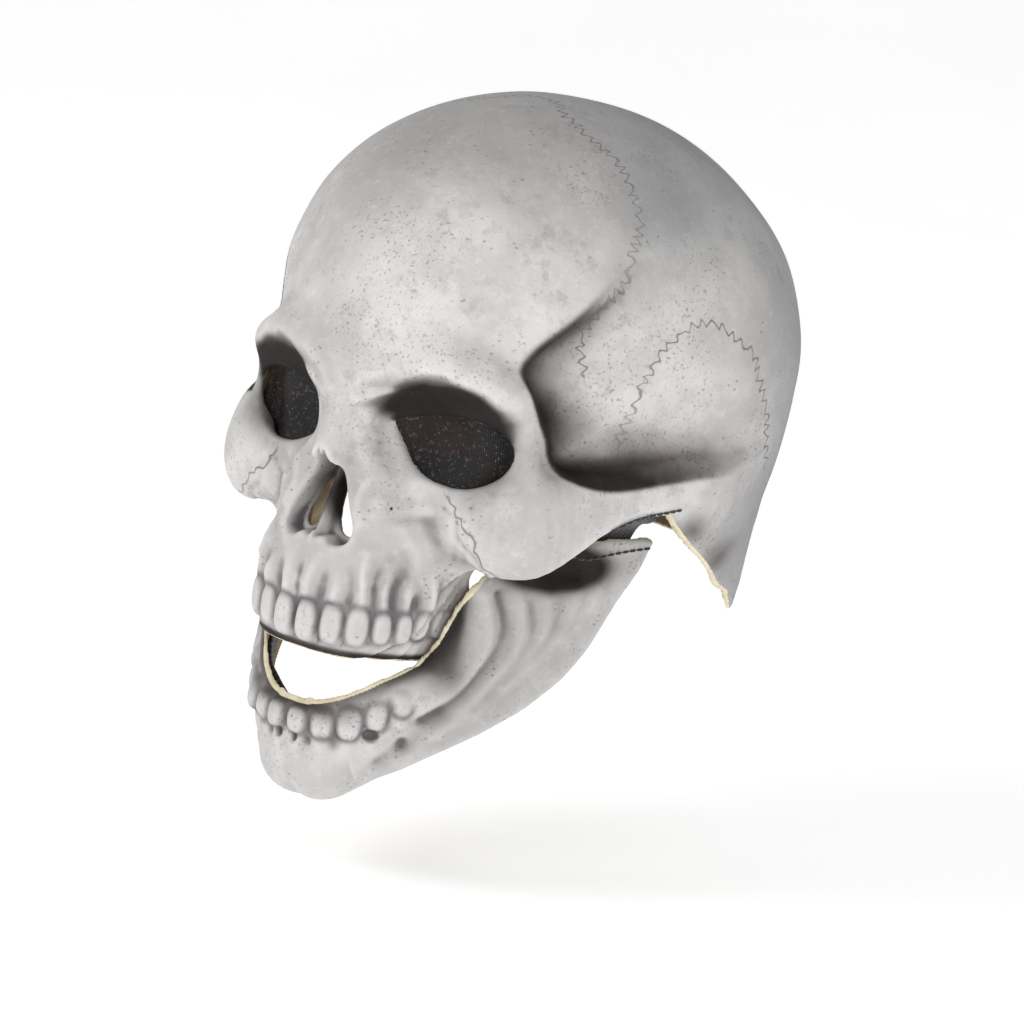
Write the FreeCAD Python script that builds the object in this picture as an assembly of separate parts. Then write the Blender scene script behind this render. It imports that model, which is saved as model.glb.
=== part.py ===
"""Full-head latex skull mask with a jaw that moves with the wearer's own.

Millimetres. The origin is midway between the two jaw pivots, beside the wearer's ears. +Z is up, the face
looks along -Y, and +X is the mask's own left side. Each piece is written to parts/NODE.step.
"""

import FreeCAD
import Part

import math
import os

Vector = FreeCAD.Vector

# ---- driving dimensions --------------------------------------------------------------------------
SKIN = 3.0  # wall of the moulded latex
FIT_GAP = 0.3  # a glued or sewn layer stands this far off the skin in the model
HALF_WIDTH = 102.5  # braincase, side to side from the middle
FRONT_REACH = 115.0  # braincase, middle to forehead
BACK_REACH = 100.0  # braincase, middle to the back of the head
RISE = 91.0  # braincase, widest level to crown
FRONT_DROP = 170.0  # how slowly the braincase narrows below its widest level, in front
BACK_DROP = 152.0  # and behind
CENTRE_Y = -7.0
CENTRE_Z = 50.0
NARROWING = 0.34  # share of the width lost at the very front
NARROWING_POWER = 2.15
FORM_BOTTOM = -72.0  # the trimmed forms start here, below every rim
HALF_STEPS = 45  # points along half of one level's outline
LEVELS_BELOW = 18
LEVELS_ABOVE = 12

JAW_HALF_WIDTH = 50.0
JAW_REACH = 82.0
JAW_CENTRE_Y = -40.0
JAW_FLARE = 28.0  # how far the branches spread by the pivots
CHIN_MIDDLE_Y = -55.0
CHIN_SIDE_Z = -85.0  # the chin starts to narrow below this level
CHIN_SIDE_DEPTH = 50.0
CHIN_FRONT_Z = -100.0  # and to fall back below this one
CHIN_FRONT_DEPTH = 36.0
JAW_TOP = 4.0
JAW_BOTTOM = -136.0
JAW_BACK_Y = 24.0

EYE_X = 38.0
EYE_Z = 14.5
EYE_HALF_WIDTH = 22.0
EYE_HALF_HEIGHT = 12.5
MESH_LAP = 6.0  # the gauze reaches this far past the opening
MESH_THICK = 0.6
BAND_THICK = 1.0

PAD_THICK = 9.0
CROWN_PAD_RADIUS = 40.0
CROWN_PAD_FACE_Z = 123.0

STRAP_CENTRE_Y = CENTRE_Y
STRAP_RADIUS = 84.0  # inner face of the left strap
STRAP_THICK = 1.4
TAPE_THICK = 0.9
TAPE_GAP = 0.1
STRAP_LOW_Z = -8.0
STRAP_HIGH_Z = 16.0

THREAD_RADIUS = 0.5

ELASTIC_TOP_X = 79.0
ELASTIC_LOW_X = 55.0
ELASTIC_Y = -47.0
ELASTIC_WIDTH = 20.0
ELASTIC_THICK = 1.2

CUP_THICK = 7.5
CUP_BOTTOM = -121.0

# Relief on the head form: (angle from the front, level, height, angular spread, vertical spread). Each one off
# the middle is mirrored to the other side.
FACE_RELIEF = (
    (0, 30, 4, 12, 10),  # between the brows
    (23, 40, 7, 11, 8),  # brow ridges
    (35, 25.5, 8, 6, 14),  # outer corners of the brows
    (14.5, 19.5, -14, 8, 13.5),  # sockets, inner part
    (30, 15.5, -2, 8, 10.5),  # sockets, outer part
    (0, 10.5, 10, 6, 9.5),  # nose bridge
    (0, -60, 34, 24.5, 36),  # upper jaw
    (44, -4, 14, 15, 15),  # cheekbones
    (36, -18, 9, 8, 8),  # lower corners of the cheekbones
    (31, -52, -12, 12, 32),  # hollows under the cheekbones
    (63, 31, -5.5, 28, 44),  # temples
    (67, 4, 7, 18, 12),  # cheekbone arches
    (128, -36, 3, 10, 12),  # bony knobs behind the ears
)

# Side views, (y, z) of the region each shell keeps.
HEAD_RIM = (
    (140, -18), (95, -25), (70, -29), (55, -31), (45, -34), (40, -41), (35, -43), (28, -34), (4, -24),
    (-20, -12), (-28, -8), (-45, -6), (-60, -10), (-72, -17), (-82, -26), (-88, -35), (-89, -60), (-92, -64),
    (-150, -66), (-150, 160), (140, 160),
)
JAW_SIDE = (
    (-140, -86), (-121, -85), (-112, -80), (-98, -70), (-92, -62), (-87, -47), (-83, -38), (-76, -32),
    (-60, -25), (-46, -20), (-28, -16), (-11, -15), (-10, -20), (-24, -43), (-29, -55), (-38, -69),
    (-62, -88), (-87, -110), (-100, -123), (-108, -129), (-140, -131),
)
TEETH_EACH_SIDE = 7
UPPER_TOOTH_Z = -53.0
LOWER_TOOTH_Z = -91.0
UPPER_TOOTH_PITCH = 9.6
LOWER_TOOTH_PITCH = 9.0
TOOTH_HALF = (4.6, 3.6, 9.5)  # across, out of the gum, along
LOWER_TOOTH_HALF = (4.2, 3.2, 7.5)


# ---- the head form -------------------------------------------------------------------------------
def lobe(angle, level, relief):
    """Height of one raised or sunken patch, on both sides of the face, at an angle and a level."""
    at, height_z, height, spread, spread_z = relief
    upright = math.exp(-(((level - height_z) / spread_z) ** 2))
    sides = (at,) if at == 0 else (at, -at)
    return height * upright * sum(math.exp(-(((angle - side) / spread) ** 2)) for side in sides)


def smooth_step(share):
    share = min(1.0, max(0.0, share))
    return share * share * (3 - 2 * share)


def level_share(angle, level, depth):
    """How much of its full size the braincase has at a level."""
    if level >= CENTRE_Z:
        return math.sqrt(max(0.0, 1.0 - ((level - CENTRE_Z) / (RISE - depth)) ** 2))
    drop = FRONT_DROP + (BACK_DROP - FRONT_DROP) * smooth_step((abs(angle) - 60) / 60)
    return math.sqrt(1.0 - ((CENTRE_Z - level) / drop) ** 2)


def head_radius(angle, level, depth):
    """Distance from the head's upright axis to its surface, `depth` inside the skin. The angle is in degrees
    from the face, up to 180 either way."""
    share = level_share(angle, level, depth)
    side_depth, plan_depth = (0.0, depth) if level >= CENTRE_Z else (depth, 0.0)
    reach = (FRONT_REACH if abs(angle) < 90 else BACK_REACH) - plan_depth
    sine = math.sin(math.radians(angle))
    cosine = math.cos(math.radians(angle))
    plain = reach * share
    for _ in range(14):
        forward = max(0.0, plain * cosine)
        width = (HALF_WIDTH - plan_depth) * (1 - NARROWING * (forward / FRONT_REACH) ** NARROWING_POWER)
        found = share / math.hypot(sine / width, cosine / reach)
        plain = (plain + found) / 2
    return plain - side_depth + sum(lobe(angle, level, relief) for relief in FACE_RELIEF)


def head_point(angle, level, depth=0.0):
    turn = math.radians(angle)
    out = head_radius(angle, level, depth)
    return Vector(out * math.sin(turn), CENTRE_Y - out * math.cos(turn), level)


def closed_outline(points):
    curve = Part.BSplineCurve()
    curve.buildFromPoles(points, True, 3)
    return Part.Wire(curve.toShape())


def head_form(depth, extra=0.0):
    """Solid inside the head's surface, `depth` under the skin. `extra` carries it further down."""
    top = CENTRE_Z + RISE - depth
    bottom = FORM_BOTTOM - extra
    below = [bottom + (CENTRE_Z - bottom) * i / LEVELS_BELOW for i in range(LEVELS_BELOW)]
    steps = [math.sin(math.radians(86.0 * i / LEVELS_ABOVE)) for i in range(LEVELS_ABOVE + 1)]
    above = [CENTRE_Z + (RISE - depth) * step for step in steps]
    angles = [180.0 * i / HALF_STEPS for i in range(-HALF_STEPS, HALF_STEPS)]
    rings = [closed_outline([head_point(angle, level, depth) for angle in angles]) for level in below + above]
    return Part.makeLoft(rings + [Part.Vertex(Vector(0, CENTRE_Y, top))], True, False)


def head_layer(near, far):
    """The layer between two depths under the head's surface."""
    return head_form(near).cut(head_form(far, extra=5.0))


# ---- the jaw form --------------------------------------------------------------------------------
def jaw_half_width(y, depth=0.0):
    """Half the jaw's width at a place behind its rounded front."""
    spread = (y - JAW_CENTRE_Y + JAW_REACH) / (JAW_REACH - JAW_CENTRE_Y)
    return JAW_HALF_WIDTH - depth + JAW_FLARE * spread**1.5


def chin_taper(x, y, level, depth):
    """Draws a point of the plan in, below the chin's upper levels."""
    side = max(0.0, CHIN_SIDE_Z - level) / (CHIN_SIDE_DEPTH - depth)
    front = max(0.0, CHIN_FRONT_Z - level) / (CHIN_FRONT_DEPTH - depth)
    x *= math.exp(-0.9 * side**2.6)
    y = CHIN_MIDDLE_Y + (y - CHIN_MIDDLE_Y) * math.exp(-0.9 * front**2.6)
    return Vector(x, y, level)


def jaw_outline_point(turn, level, depth):
    """A point of the jaw's plan: `turn` is 0 at the chin and 90 where its straight sides start, in degrees."""
    angle = math.radians(abs(turn))
    y = JAW_CENTRE_Y - (JAW_REACH - depth) * math.cos(angle)
    spread = max(0.0, y - JAW_CENTRE_Y + JAW_REACH) / (JAW_REACH - JAW_CENTRE_Y)
    x = (JAW_HALF_WIDTH - depth) * math.sin(angle) + JAW_FLARE * spread**1.5 * math.sin(angle)
    return chin_taper(math.copysign(x, turn), y, level, depth)


def jaw_ring(level, inset):
    """One level of the jaw form. inset(turn) is the depth under the skin."""
    front = [jaw_outline_point(3.0 * i, level, inset(3.0 * i)) for i in range(-30, 31)]
    side_y = [JAW_CENTRE_Y + (JAW_BACK_Y - JAW_CENTRE_Y) * i / 6 for i in range(1, 7)]
    depth = inset(90.0)
    left = [chin_taper(jaw_half_width(y, depth), y, level, depth) for y in side_y]
    right = [Vector(-point.x, point.y, level) for point in reversed(left)]
    return closed_outline(front + left + right)


def jaw_form(inset, extra=0.0, bottom=JAW_BOTTOM):
    """Solid inside the jaw's surface. inset is a depth, or a function of the turn round its plan."""
    depth = inset if callable(inset) else lambda turn: inset
    low = bottom - extra
    high = JAW_TOP + extra
    levels = [low + (high - low) * i / 16 for i in range(17)]
    return Part.makeLoft([jaw_ring(level, depth) for level in levels], True, False)


# ---- small tools ---------------------------------------------------------------------------------
def side_region(outline):
    """The space inside a side view (y, z), right through the mask."""
    points = [Vector(-150, y, z) for y, z in outline]
    face = Part.Face(Part.makePolygon(points + [points[0]]))
    return face.extrude(Vector(300, 0, 0))


def oval_prism(centre, direction, across, half_a, half_b, length):
    """An elliptical bar from centre along direction. `across` is the direction of half_a."""
    if half_b > half_a:
        across, half_a, half_b = direction.cross(across), half_b, half_a
    end_a = centre + across.normalize() * half_a
    end_b = centre + direction.cross(across).normalize() * half_b
    ellipse = Part.Ellipse(end_a, end_b, centre)
    return Part.Face(Part.Wire(ellipse.toShape())).extrude(direction * length)


def eye_prism(side, grow):
    """The bar that opens one eye, from inside the head out through the face."""
    centre = Vector(side * EYE_X, -40, EYE_Z)
    across = Vector(1, 0, 0)
    return oval_prism(centre, Vector(0, -1, 0), across, EYE_HALF_WIDTH + grow, EYE_HALF_HEIGHT + grow, 110)


def block(low, high):
    size = [b - a for a, b in zip(low, high)]
    return Part.makeBox(size[0], size[1], size[2], Vector(*low))


def mirrored(shape):
    return shape.mirror(Vector(0, 0, 0), Vector(1, 0, 0))


def ellipsoid(centre, outward, half):
    """An ellipsoid whose second half-axis points outward, and whose third is upright."""
    ball = Part.makeSphere(1.0)
    stretch = FreeCAD.Matrix()
    stretch.scale(Vector(*half))
    ball = ball.transformGeometry(stretch)
    turn = math.degrees(math.atan2(outward.y, outward.x)) - 90.0
    ball.rotate(Vector(0, 0, 0), Vector(0, 0, 1), turn)
    ball.translate(centre)
    return ball


def walk(point_at, pitch, count):
    """Points pitch apart along point_at(t), which starts at the middle of the face, with the ways they face."""
    found = []
    travelled = 0.0
    wanted = pitch / 2.0
    t = 0.0
    here = point_at(t)
    while len(found) < count:
        t += 0.25
        ahead = point_at(t)
        travelled += (ahead - here).Length
        if travelled >= wanted:
            along = (ahead - here).normalize()
            found.append((ahead, Vector(along.y, -along.x, 0)))
            wanted += pitch
        here = ahead
    return found


def round_bar(start, end, radius):
    """A round bar with rounded ends."""
    run = end - start
    slant = radius * math.sqrt(0.5)
    low_arc = Part.Arc(Vector(0, 0, -radius), Vector(slant, 0, -slant), Vector(radius, 0, 0))
    side = Part.LineSegment(Vector(radius, 0, 0), Vector(radius, 0, run.Length))
    top = run.Length + slant
    high_arc = Part.Arc(Vector(radius, 0, run.Length), Vector(slant, 0, top), Vector(0, 0, run.Length + radius))
    middle = Part.LineSegment(Vector(0, 0, run.Length + radius), Vector(0, 0, -radius))
    outline = Part.Wire([edge.toShape() for edge in (low_arc, side, high_arc, middle)])
    bar = Part.Face(outline).revolve(Vector(0, 0, 0), Vector(0, 0, 1), 360)
    bar.Placement = FreeCAD.Placement(start, FreeCAD.Rotation(Vector(0, 0, 1), run))
    return bar


def thread_row(point_at, count):
    """Short sewn stitches of thread, end to end along point_at(i), for i from 0 to count."""
    ends = [(point_at(i + 0.15), point_at(i + 0.85)) for i in range(count)]
    return Part.makeCompound([round_bar(start, end, THREAD_RADIUS) for start, end in ends])


# ---- the latex mouldings -------------------------------------------------------------------------
def upper_teeth():
    def gum(turn):
        return head_point(turn, UPPER_TOOTH_Z)

    one_side = [
        ellipsoid(spot + Vector(-out.x, -out.y, 0) * 1.2, out, TOOTH_HALF)
        for spot, out in walk(gum, UPPER_TOOTH_PITCH, TEETH_EACH_SIDE)
    ]
    return one_side + [mirrored(tooth) for tooth in one_side]


def nose_openings():
    """The two halves of the nose hole, with the bony wall between them left standing."""
    left = oval_prism(Vector(7.8, -60, -11), Vector(0, -1, 0), Vector(0.32, 0, 1), 12.5, 5.2, 90)
    return [left, mirrored(left)]


def cranium_shell():
    shell = head_form(0.0).multiFuse(upper_teeth()).cut(head_form(SKIN, extra=5.0))
    shell = shell.common(side_region(HEAD_RIM))
    shell = shell.cut(eye_prism(1, 0)).cut(eye_prism(-1, 0))
    for opening in nose_openings():
        shell = shell.cut(opening)
    return shell


def lower_teeth():
    def gum(turn):
        return jaw_outline_point(turn, LOWER_TOOTH_Z, 0.0)

    one_side = [
        ellipsoid(spot + Vector(-out.x, -out.y, 0) * 1.2 + Vector(0, 0, 1.6 * i), out, LOWER_TOOTH_HALF)
        for i, (spot, out) in enumerate(walk(gum, LOWER_TOOTH_PITCH, TEETH_EACH_SIDE - 1))
    ]
    return one_side + [mirrored(tooth) for tooth in one_side]


def jaw_shell():
    shell = jaw_form(0.0).multiFuse(lower_teeth()).cut(jaw_form(SKIN, extra=4.0))
    return shell.common(side_region(JAW_SIDE))


# ---- eyes ----------------------------------------------------------------------------------------
def eye_mesh(side):
    near = SKIN + FIT_GAP
    sheet = head_layer(near, near + MESH_THICK)
    return sheet.common(eye_prism(side, MESH_LAP))


def eye_mesh_band(side):
    near = SKIN + 2 * FIT_GAP + MESH_THICK
    sheet = head_layer(near, near + BAND_THICK)
    return sheet.common(eye_prism(side, MESH_LAP + 2.0)).cut(eye_prism(side, 1.5))


# ---- padding -------------------------------------------------------------------------------------
def pad_layer():
    return head_layer(SKIN + FIT_GAP, SKIN + FIT_GAP + PAD_THICK)


def crown_pad():
    dome = head_form(SKIN + FIT_GAP)
    puck = Part.makeCylinder(CROWN_PAD_RADIUS, 30, Vector(0, CENTRE_Y, CROWN_PAD_FACE_Z))
    return dome.common(puck)


def forehead_pad():
    bar = oval_prism(Vector(0, -60, 82), Vector(0, -1, 0), Vector(1, 0, 0), 44, 17, 90)
    return pad_layer().common(bar)


def occiput_pad():
    bar = oval_prism(Vector(0, 60, 58), Vector(0, 1, 0), Vector(1, 0, 0), 44, 24, 90)
    return pad_layer().common(bar)


def temple_pad():
    bar = oval_prism(Vector(50, 0, 62), Vector(1, 0, 0), Vector(0, 1, 0), 32, 20, 90)
    return pad_layer().common(bar)


# ---- how the jaw hangs ---------------------------------------------------------------------------
def ribbon(line, thick, width):
    """A bent strip: `line` is its outer face in (x, z), and it is `width` long in y, centred."""
    ahead = [Vector(b[0] - a[0], 0, b[1] - a[1]).normalize() for a, b in zip(line, line[1:])]
    inner = []
    for i, (x, z) in enumerate(line):
        before = ahead[max(0, i - 1)]
        after = ahead[min(i, len(ahead) - 1)]
        middle = (before + after).normalize()
        square = Vector(middle.z, 0, -middle.x)
        inner.append(Vector(x, 0, z) + square * (thick / middle.dot(after)))
    outer = [Vector(x, 0, z) for x, z in line]
    face = Part.Face(Part.makePolygon(outer + inner[::-1] + [outer[0]]))
    strip = face.extrude(Vector(0, width, 0))
    strip.translate(Vector(0, -width / 2, 0))
    return strip


def jaw_elastic():
    """Woven elastic from the inside of the cheekbone arch, over the jaw's top edge and down inside it."""
    line = ((ELASTIC_TOP_X, 9), (ELASTIC_TOP_X, 0), (ELASTIC_LOW_X, -6), (ELASTIC_LOW_X, -30))
    strip = ribbon(line, ELASTIC_THICK, ELASTIC_WIDTH)
    strip.translate(Vector(0, ELASTIC_Y, 0))
    return strip


def arch_stitches():
    def on_arch(i):
        share = i / 10.0
        return head_point(56 + 20 * share, -6 + 2.5 * share + 2.0 * share * share)

    return thread_row(on_arch, 10)


def jaw_stitches():
    def on_jaw(i):
        y = -46 + 4.0 * i
        return Vector(jaw_half_width(y), y, -23 + 0.55 * i)

    return thread_row(on_jaw, 9)


def strap_inset(turn):
    """Depth of the chin strap: on the jaw's wall at the sides, and over the chin cup in front."""
    return SKIN + FIT_GAP + (CUP_THICK + 2.0) * math.exp(-((turn / 58.0) ** 4))


def band_region(low, high):
    """A slanting slab across the jaw, between two heights at the chin, that rises towards the pivots."""
    front = [Vector(-150, -120, low), Vector(-150, -120, high)]
    points = front + [Vector(-150, -40, high + 62), Vector(-150, -40, low + 62)]
    return Part.Face(Part.makePolygon(points + [points[0]])).extrude(Vector(300, 0, 0))


def jaw_layer(near, far):
    """The layer between two depths under the jaw's surface, above the bottom of the chin cup."""
    return jaw_form(near, bottom=CUP_BOTTOM).cut(jaw_form(far, extra=4.0, bottom=CUP_BOTTOM))


def chin_cup():
    foam = jaw_layer(SKIN + 0.8, SKIN + 0.8 + CUP_THICK)
    return foam.common(block((-23, -130, -114), (23, -85, -98)))


def chin_strap():
    def outer(turn):
        return strap_inset(turn) + STRAP_THICK

    region = band_region(-116, -102).common(block((-90, -140, -130), (90, -50, -30)))
    band = jaw_form(strap_inset, bottom=CUP_BOTTOM).common(region)
    return band.cut(jaw_form(outer, extra=4.0, bottom=CUP_BOTTOM))


def chin_strap_patch():
    """Glued over each end of the chin strap, standing off it by a hair."""

    def near(turn):
        return strap_inset(turn) + STRAP_THICK + 0.4

    def far(turn):
        return near(turn) + 1.0

    region = band_region(-119, -99).common(block((20, -66, -130), (90, -48, -30)))
    band = jaw_form(near, bottom=CUP_BOTTOM).common(region)
    return band.cut(jaw_form(far, extra=4.0, bottom=CUP_BOTTOM))


# ---- the strap round the back of the head --------------------------------------------------------
def strap_arc(inner_radius, thick, from_deg, to_deg, low=STRAP_LOW_Z, high=STRAP_HIGH_Z):
    """A band about the head's axis. Angles run from the mask's left side, over its back, to its right."""
    centre = Vector(0, STRAP_CENTRE_Y, low)
    ring = Part.makeCylinder(inner_radius + thick, high - low, centre, Vector(0, 0, 1), to_deg - from_deg)
    hole = Part.makeCylinder(inner_radius, high - low + 2, centre - Vector(0, 0, 1))
    ring.rotate(centre, Vector(0, 0, 1), from_deg)
    return ring.cut(hole)


def strap_anchor(side, strap_outside, from_deg, to_deg):
    """The latex block that joins a strap's end to the skin."""
    sector = strap_arc(strap_outside, 20.0, from_deg, to_deg, STRAP_LOW_Z + 3, STRAP_HIGH_Z - 3)
    return sector.common(head_form(SKIN + FIT_GAP))


LOOP_RADIUS = STRAP_RADIUS - TAPE_GAP - TAPE_THICK
HOOK_RADIUS = LOOP_RADIUS - TAPE_GAP - TAPE_THICK
RIGHT_STRAP_RADIUS = HOOK_RADIUS - TAPE_GAP - STRAP_THICK


def build():
    stitches = arch_stitches()
    lower_stitches = jaw_stitches()
    temple = temple_pad()
    elastic = jaw_elastic()
    patch = chin_strap_patch()
    return {
        "cranium_shell": cranium_shell(),
        "jaw_shell": jaw_shell(),
        "eye_mesh_left": eye_mesh(1),
        "eye_mesh_right": eye_mesh(-1),
        "eye_mesh_band_left": eye_mesh_band(1),
        "eye_mesh_band_right": eye_mesh_band(-1),
        "crown_pad": crown_pad(),
        "forehead_pad": forehead_pad(),
        "occiput_pad": occiput_pad(),
        "temple_pad_left": temple,
        "temple_pad_right": mirrored(temple),
        "jaw_elastic_left": elastic,
        "jaw_elastic_right": mirrored(elastic),
        "arch_stitches_left": stitches,
        "arch_stitches_right": mirrored(stitches),
        "jaw_stitches_left": lower_stitches,
        "jaw_stitches_right": mirrored(lower_stitches),
        "chin_cup": chin_cup(),
        "chin_strap": chin_strap(),
        "chin_strap_patch_left": patch,
        "chin_strap_patch_right": mirrored(patch),
        "head_strap_left": strap_arc(STRAP_RADIUS, STRAP_THICK, 14, 106),
        "loop_tape": strap_arc(LOOP_RADIUS, TAPE_THICK, 74, 105, STRAP_LOW_Z + 1, STRAP_HIGH_Z - 1),
        "hook_tape": strap_arc(HOOK_RADIUS, TAPE_THICK, 80, 100, STRAP_LOW_Z + 1, STRAP_HIGH_Z - 1),
        "head_strap_right": strap_arc(RIGHT_STRAP_RADIUS, STRAP_THICK, 79, 166),
        "strap_anchor_left": strap_anchor(1, STRAP_RADIUS + STRAP_THICK + 0.1, 13, 25),
        "strap_anchor_right": strap_anchor(-1, RIGHT_STRAP_RADIUS + STRAP_THICK + 0.1, 155, 167),
    }


def main():
    os.makedirs("parts", exist_ok=True)
    for old in os.listdir("parts"):
        if old.endswith(".step"):
            os.remove(os.path.join("parts", old))
    for name, shape in build().items():
        shape.exportStep(os.path.join("parts", name + ".step"))
        solids = shape.Solids
        volume = sum(solid.Volume for solid in solids) / 1000
        print(f"{name:24s} {len(solids):3d} solids {volume:8.2f} cm3  valid {shape.isValid()}")


main()
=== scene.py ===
"""What the latex skull mask looks like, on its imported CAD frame.

Shapes are worked out in millimetres in the frame's own axes: -Y out of the face, +Z up, +X the mask's own
left. A field gives the distance to a surface at each point, negative inside it. It takes its points as three
arrays x, y, z, and q stands for them with both sides of the mask folded on to one. Meshes are made in metres.
"""

import math

import bmesh
import bpy
import numpy as np
from mathutils import Matrix, Vector


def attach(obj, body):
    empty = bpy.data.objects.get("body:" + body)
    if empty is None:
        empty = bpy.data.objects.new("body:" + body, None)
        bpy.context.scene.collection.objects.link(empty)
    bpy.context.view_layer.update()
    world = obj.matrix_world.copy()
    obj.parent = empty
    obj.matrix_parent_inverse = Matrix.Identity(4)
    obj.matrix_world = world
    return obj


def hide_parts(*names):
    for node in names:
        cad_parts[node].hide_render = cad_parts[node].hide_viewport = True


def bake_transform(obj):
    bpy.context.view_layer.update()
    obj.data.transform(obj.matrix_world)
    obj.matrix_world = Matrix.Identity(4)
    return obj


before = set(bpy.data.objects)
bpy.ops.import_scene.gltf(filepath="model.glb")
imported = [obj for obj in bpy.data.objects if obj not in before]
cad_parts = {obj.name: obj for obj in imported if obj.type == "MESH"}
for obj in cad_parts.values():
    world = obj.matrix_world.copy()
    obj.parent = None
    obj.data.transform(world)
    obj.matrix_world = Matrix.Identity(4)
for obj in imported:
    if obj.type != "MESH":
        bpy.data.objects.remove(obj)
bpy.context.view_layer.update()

VOXEL = 1.0
SKIN = 3.0
GLUE = 0.4
HALVINGS = 26  # of a range searched for a surface

# ==== fields ====
PEBBLE_POWER = 2.7  # 2 would be an ellipsoid


def ellipsoid(p, centre, radii):
    x, y, z = (c - o for c, o in zip(p, centre))
    a, b, c = radii
    k0 = np.sqrt((x / a) ** 2 + (y / b) ** 2 + (z / c) ** 2)
    k1 = np.sqrt((x / a**2) ** 2 + (y / b**2) ** 2 + (z / c**2) ** 2)
    return k0 * (k0 - 1.0) / np.maximum(k1, 1e-6)


def bar(p, start, end, r0, r1, stretch=(1, 1, 1)):
    """A rounded bar. Along each axis it is `stretch` times as thick."""
    s, e, k = (np.array(v, float) for v in (start, end, stretch))
    ax, ay, az = ((c - o) / q for c, o, q in zip(p, s, k))
    b = (e - s) / k
    t = np.clip((ax * b[0] + ay * b[1] + az * b[2]) / (b @ b), 0, 1)
    d = np.sqrt((ax - b[0] * t) ** 2 + (ay - b[1] * t) ** 2 + (az - b[2] * t) ** 2)
    return d - (r0 + (r1 - r0) * t)


def join(a, b, k):
    """Both shapes, with a fillet about k wide."""
    h = np.maximum(k - np.abs(a - b), 0.0) / k
    return np.minimum(a, b) - h * h * k * 0.25


def carve(a, b, k):
    """Shape a without shape b, with rounded edges."""
    return -join(-a, b, k)


def smooth(t):
    t = np.clip(t, 0, 1)
    return t * t * (3 - 2 * t)


def curve_through(points, steps=5, closed=False):
    """Points along a smooth line through the given ones."""
    pts = np.array(points, float)
    if closed:
        pts = np.concatenate([pts[-1:], pts, pts[:2]])
    else:
        pts = np.concatenate([2 * pts[:1] - pts[1:2], pts, 2 * pts[-1:] - pts[-2:-1]])
    out = []
    for p0, p1, p2, p3 in zip(pts, pts[1:], pts[2:], pts[3:]):
        for t in np.arange(steps) / steps:
            bend = (2 * p0 - 5 * p1 + 4 * p2 - p3) * t * t + (3 * p1 - p0 - 3 * p2 + p3) * t**3
            out.append(0.5 * (2 * p1 + (p2 - p0) * t + bend))
    if not closed:
        out.append(pts[-2])
    return np.array(out)


def local(p, points, reach, work):
    """Works a field out only within `reach` of some points, since it matters nowhere else."""
    far = 60.0
    pts = np.array(points, float)
    low, high = pts.min(0) - reach, pts.max(0) + reach
    here = np.ones(p[0].shape, bool)
    for c, a, b in zip(p, low, high):
        here &= (c > a) & (c < b)
    out = np.full(p[0].shape, far, np.float32)
    if here.any():
        out[here] = work(tuple(c[here] for c in p))
    return out


def tube(p, points, radii, stretch=(1, 1, 1)):
    """A bent rounded bar whose thickness changes smoothly along it."""
    line = curve_through([(*q, r) for q, r in zip(points, radii)], 4)

    def work(q):
        parts = [bar(q, a[:3], b[:3], a[3], b[3], stretch) for a, b in zip(line, line[1:])]
        return np.minimum.reduce(parts)

    return local(p, points, max(radii) * max(stretch) + 18, work)


def dent(f, p, spot, radii, edge):
    """A small hollow in a surface."""
    return carve(f, local(p, [spot], 14, lambda r: ellipsoid(r, spot, radii)), edge)


def to_line(u, v, line):
    """Distance to an open line in a plane."""
    pts = np.array(line, float)
    nearest = np.full(u.shape, 1e9, np.float32)
    for (au, av), (bu, bv) in zip(pts, pts[1:]):
        eu, ev, wu, wv = bu - au, bv - av, u - au, v - av
        t = np.clip((wu * eu + wv * ev) / (eu * eu + ev * ev), 0, 1)
        nearest = np.minimum(nearest, (wu - eu * t) ** 2 + (wv - ev * t) ** 2)
    return np.sqrt(nearest)


def polygon(u, v, outline):
    """Distance to a closed outline in a plane, negative inside."""
    pts = np.array([*outline, outline[0]], float)
    inside = np.zeros(u.shape, bool)
    for (au, av), (bu, bv) in zip(pts, pts[1:]):
        inside ^= ((av > v) != (bv > v)) & (u < (bu - au) * (v - av) / (bv - av + 1e-12) + au)
    return np.where(inside, -1, 1) * to_line(u, v, pts)


def welt(u, v, line, width, height):
    """How far a rounded ridge drawn along a line in a plane stands up."""
    pts = np.array(line, float)
    here = (u > pts[:, 0].min() - 3 * width) & (u < pts[:, 0].max() + 3 * width)
    here &= (v > pts[:, 1].min() - 3 * width) & (v < pts[:, 1].max() + 3 * width)
    out = np.zeros(u.shape, np.float32)
    out[here] = height * np.exp(-((to_line(u[here], v[here], curve_through(line, 3)) / width) ** 2))
    return out


def pebble(a, b, c, radii):
    """A rounded block in its own axes."""
    terms = [np.abs(v) / r for v, r in zip((a, b, c), radii)]
    k = np.maximum(sum(t**PEBBLE_POWER for t in terms) ** (1 / PEBBLE_POWER), 1e-3)
    slope = np.sqrt(sum((t ** (PEBBLE_POWER - 1) / r) ** 2 for t, r in zip(terms, radii)))
    return (k - 1) / np.maximum(slope * k ** (1 - PEBBLE_POWER), 1e-3)


# ==== the head ====
CY, CZ = -7.0, 50.0
HALF_WIDTH, FRONT, BACK, RISE = 102.5, 115.0, 100.0, 91.0

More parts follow.
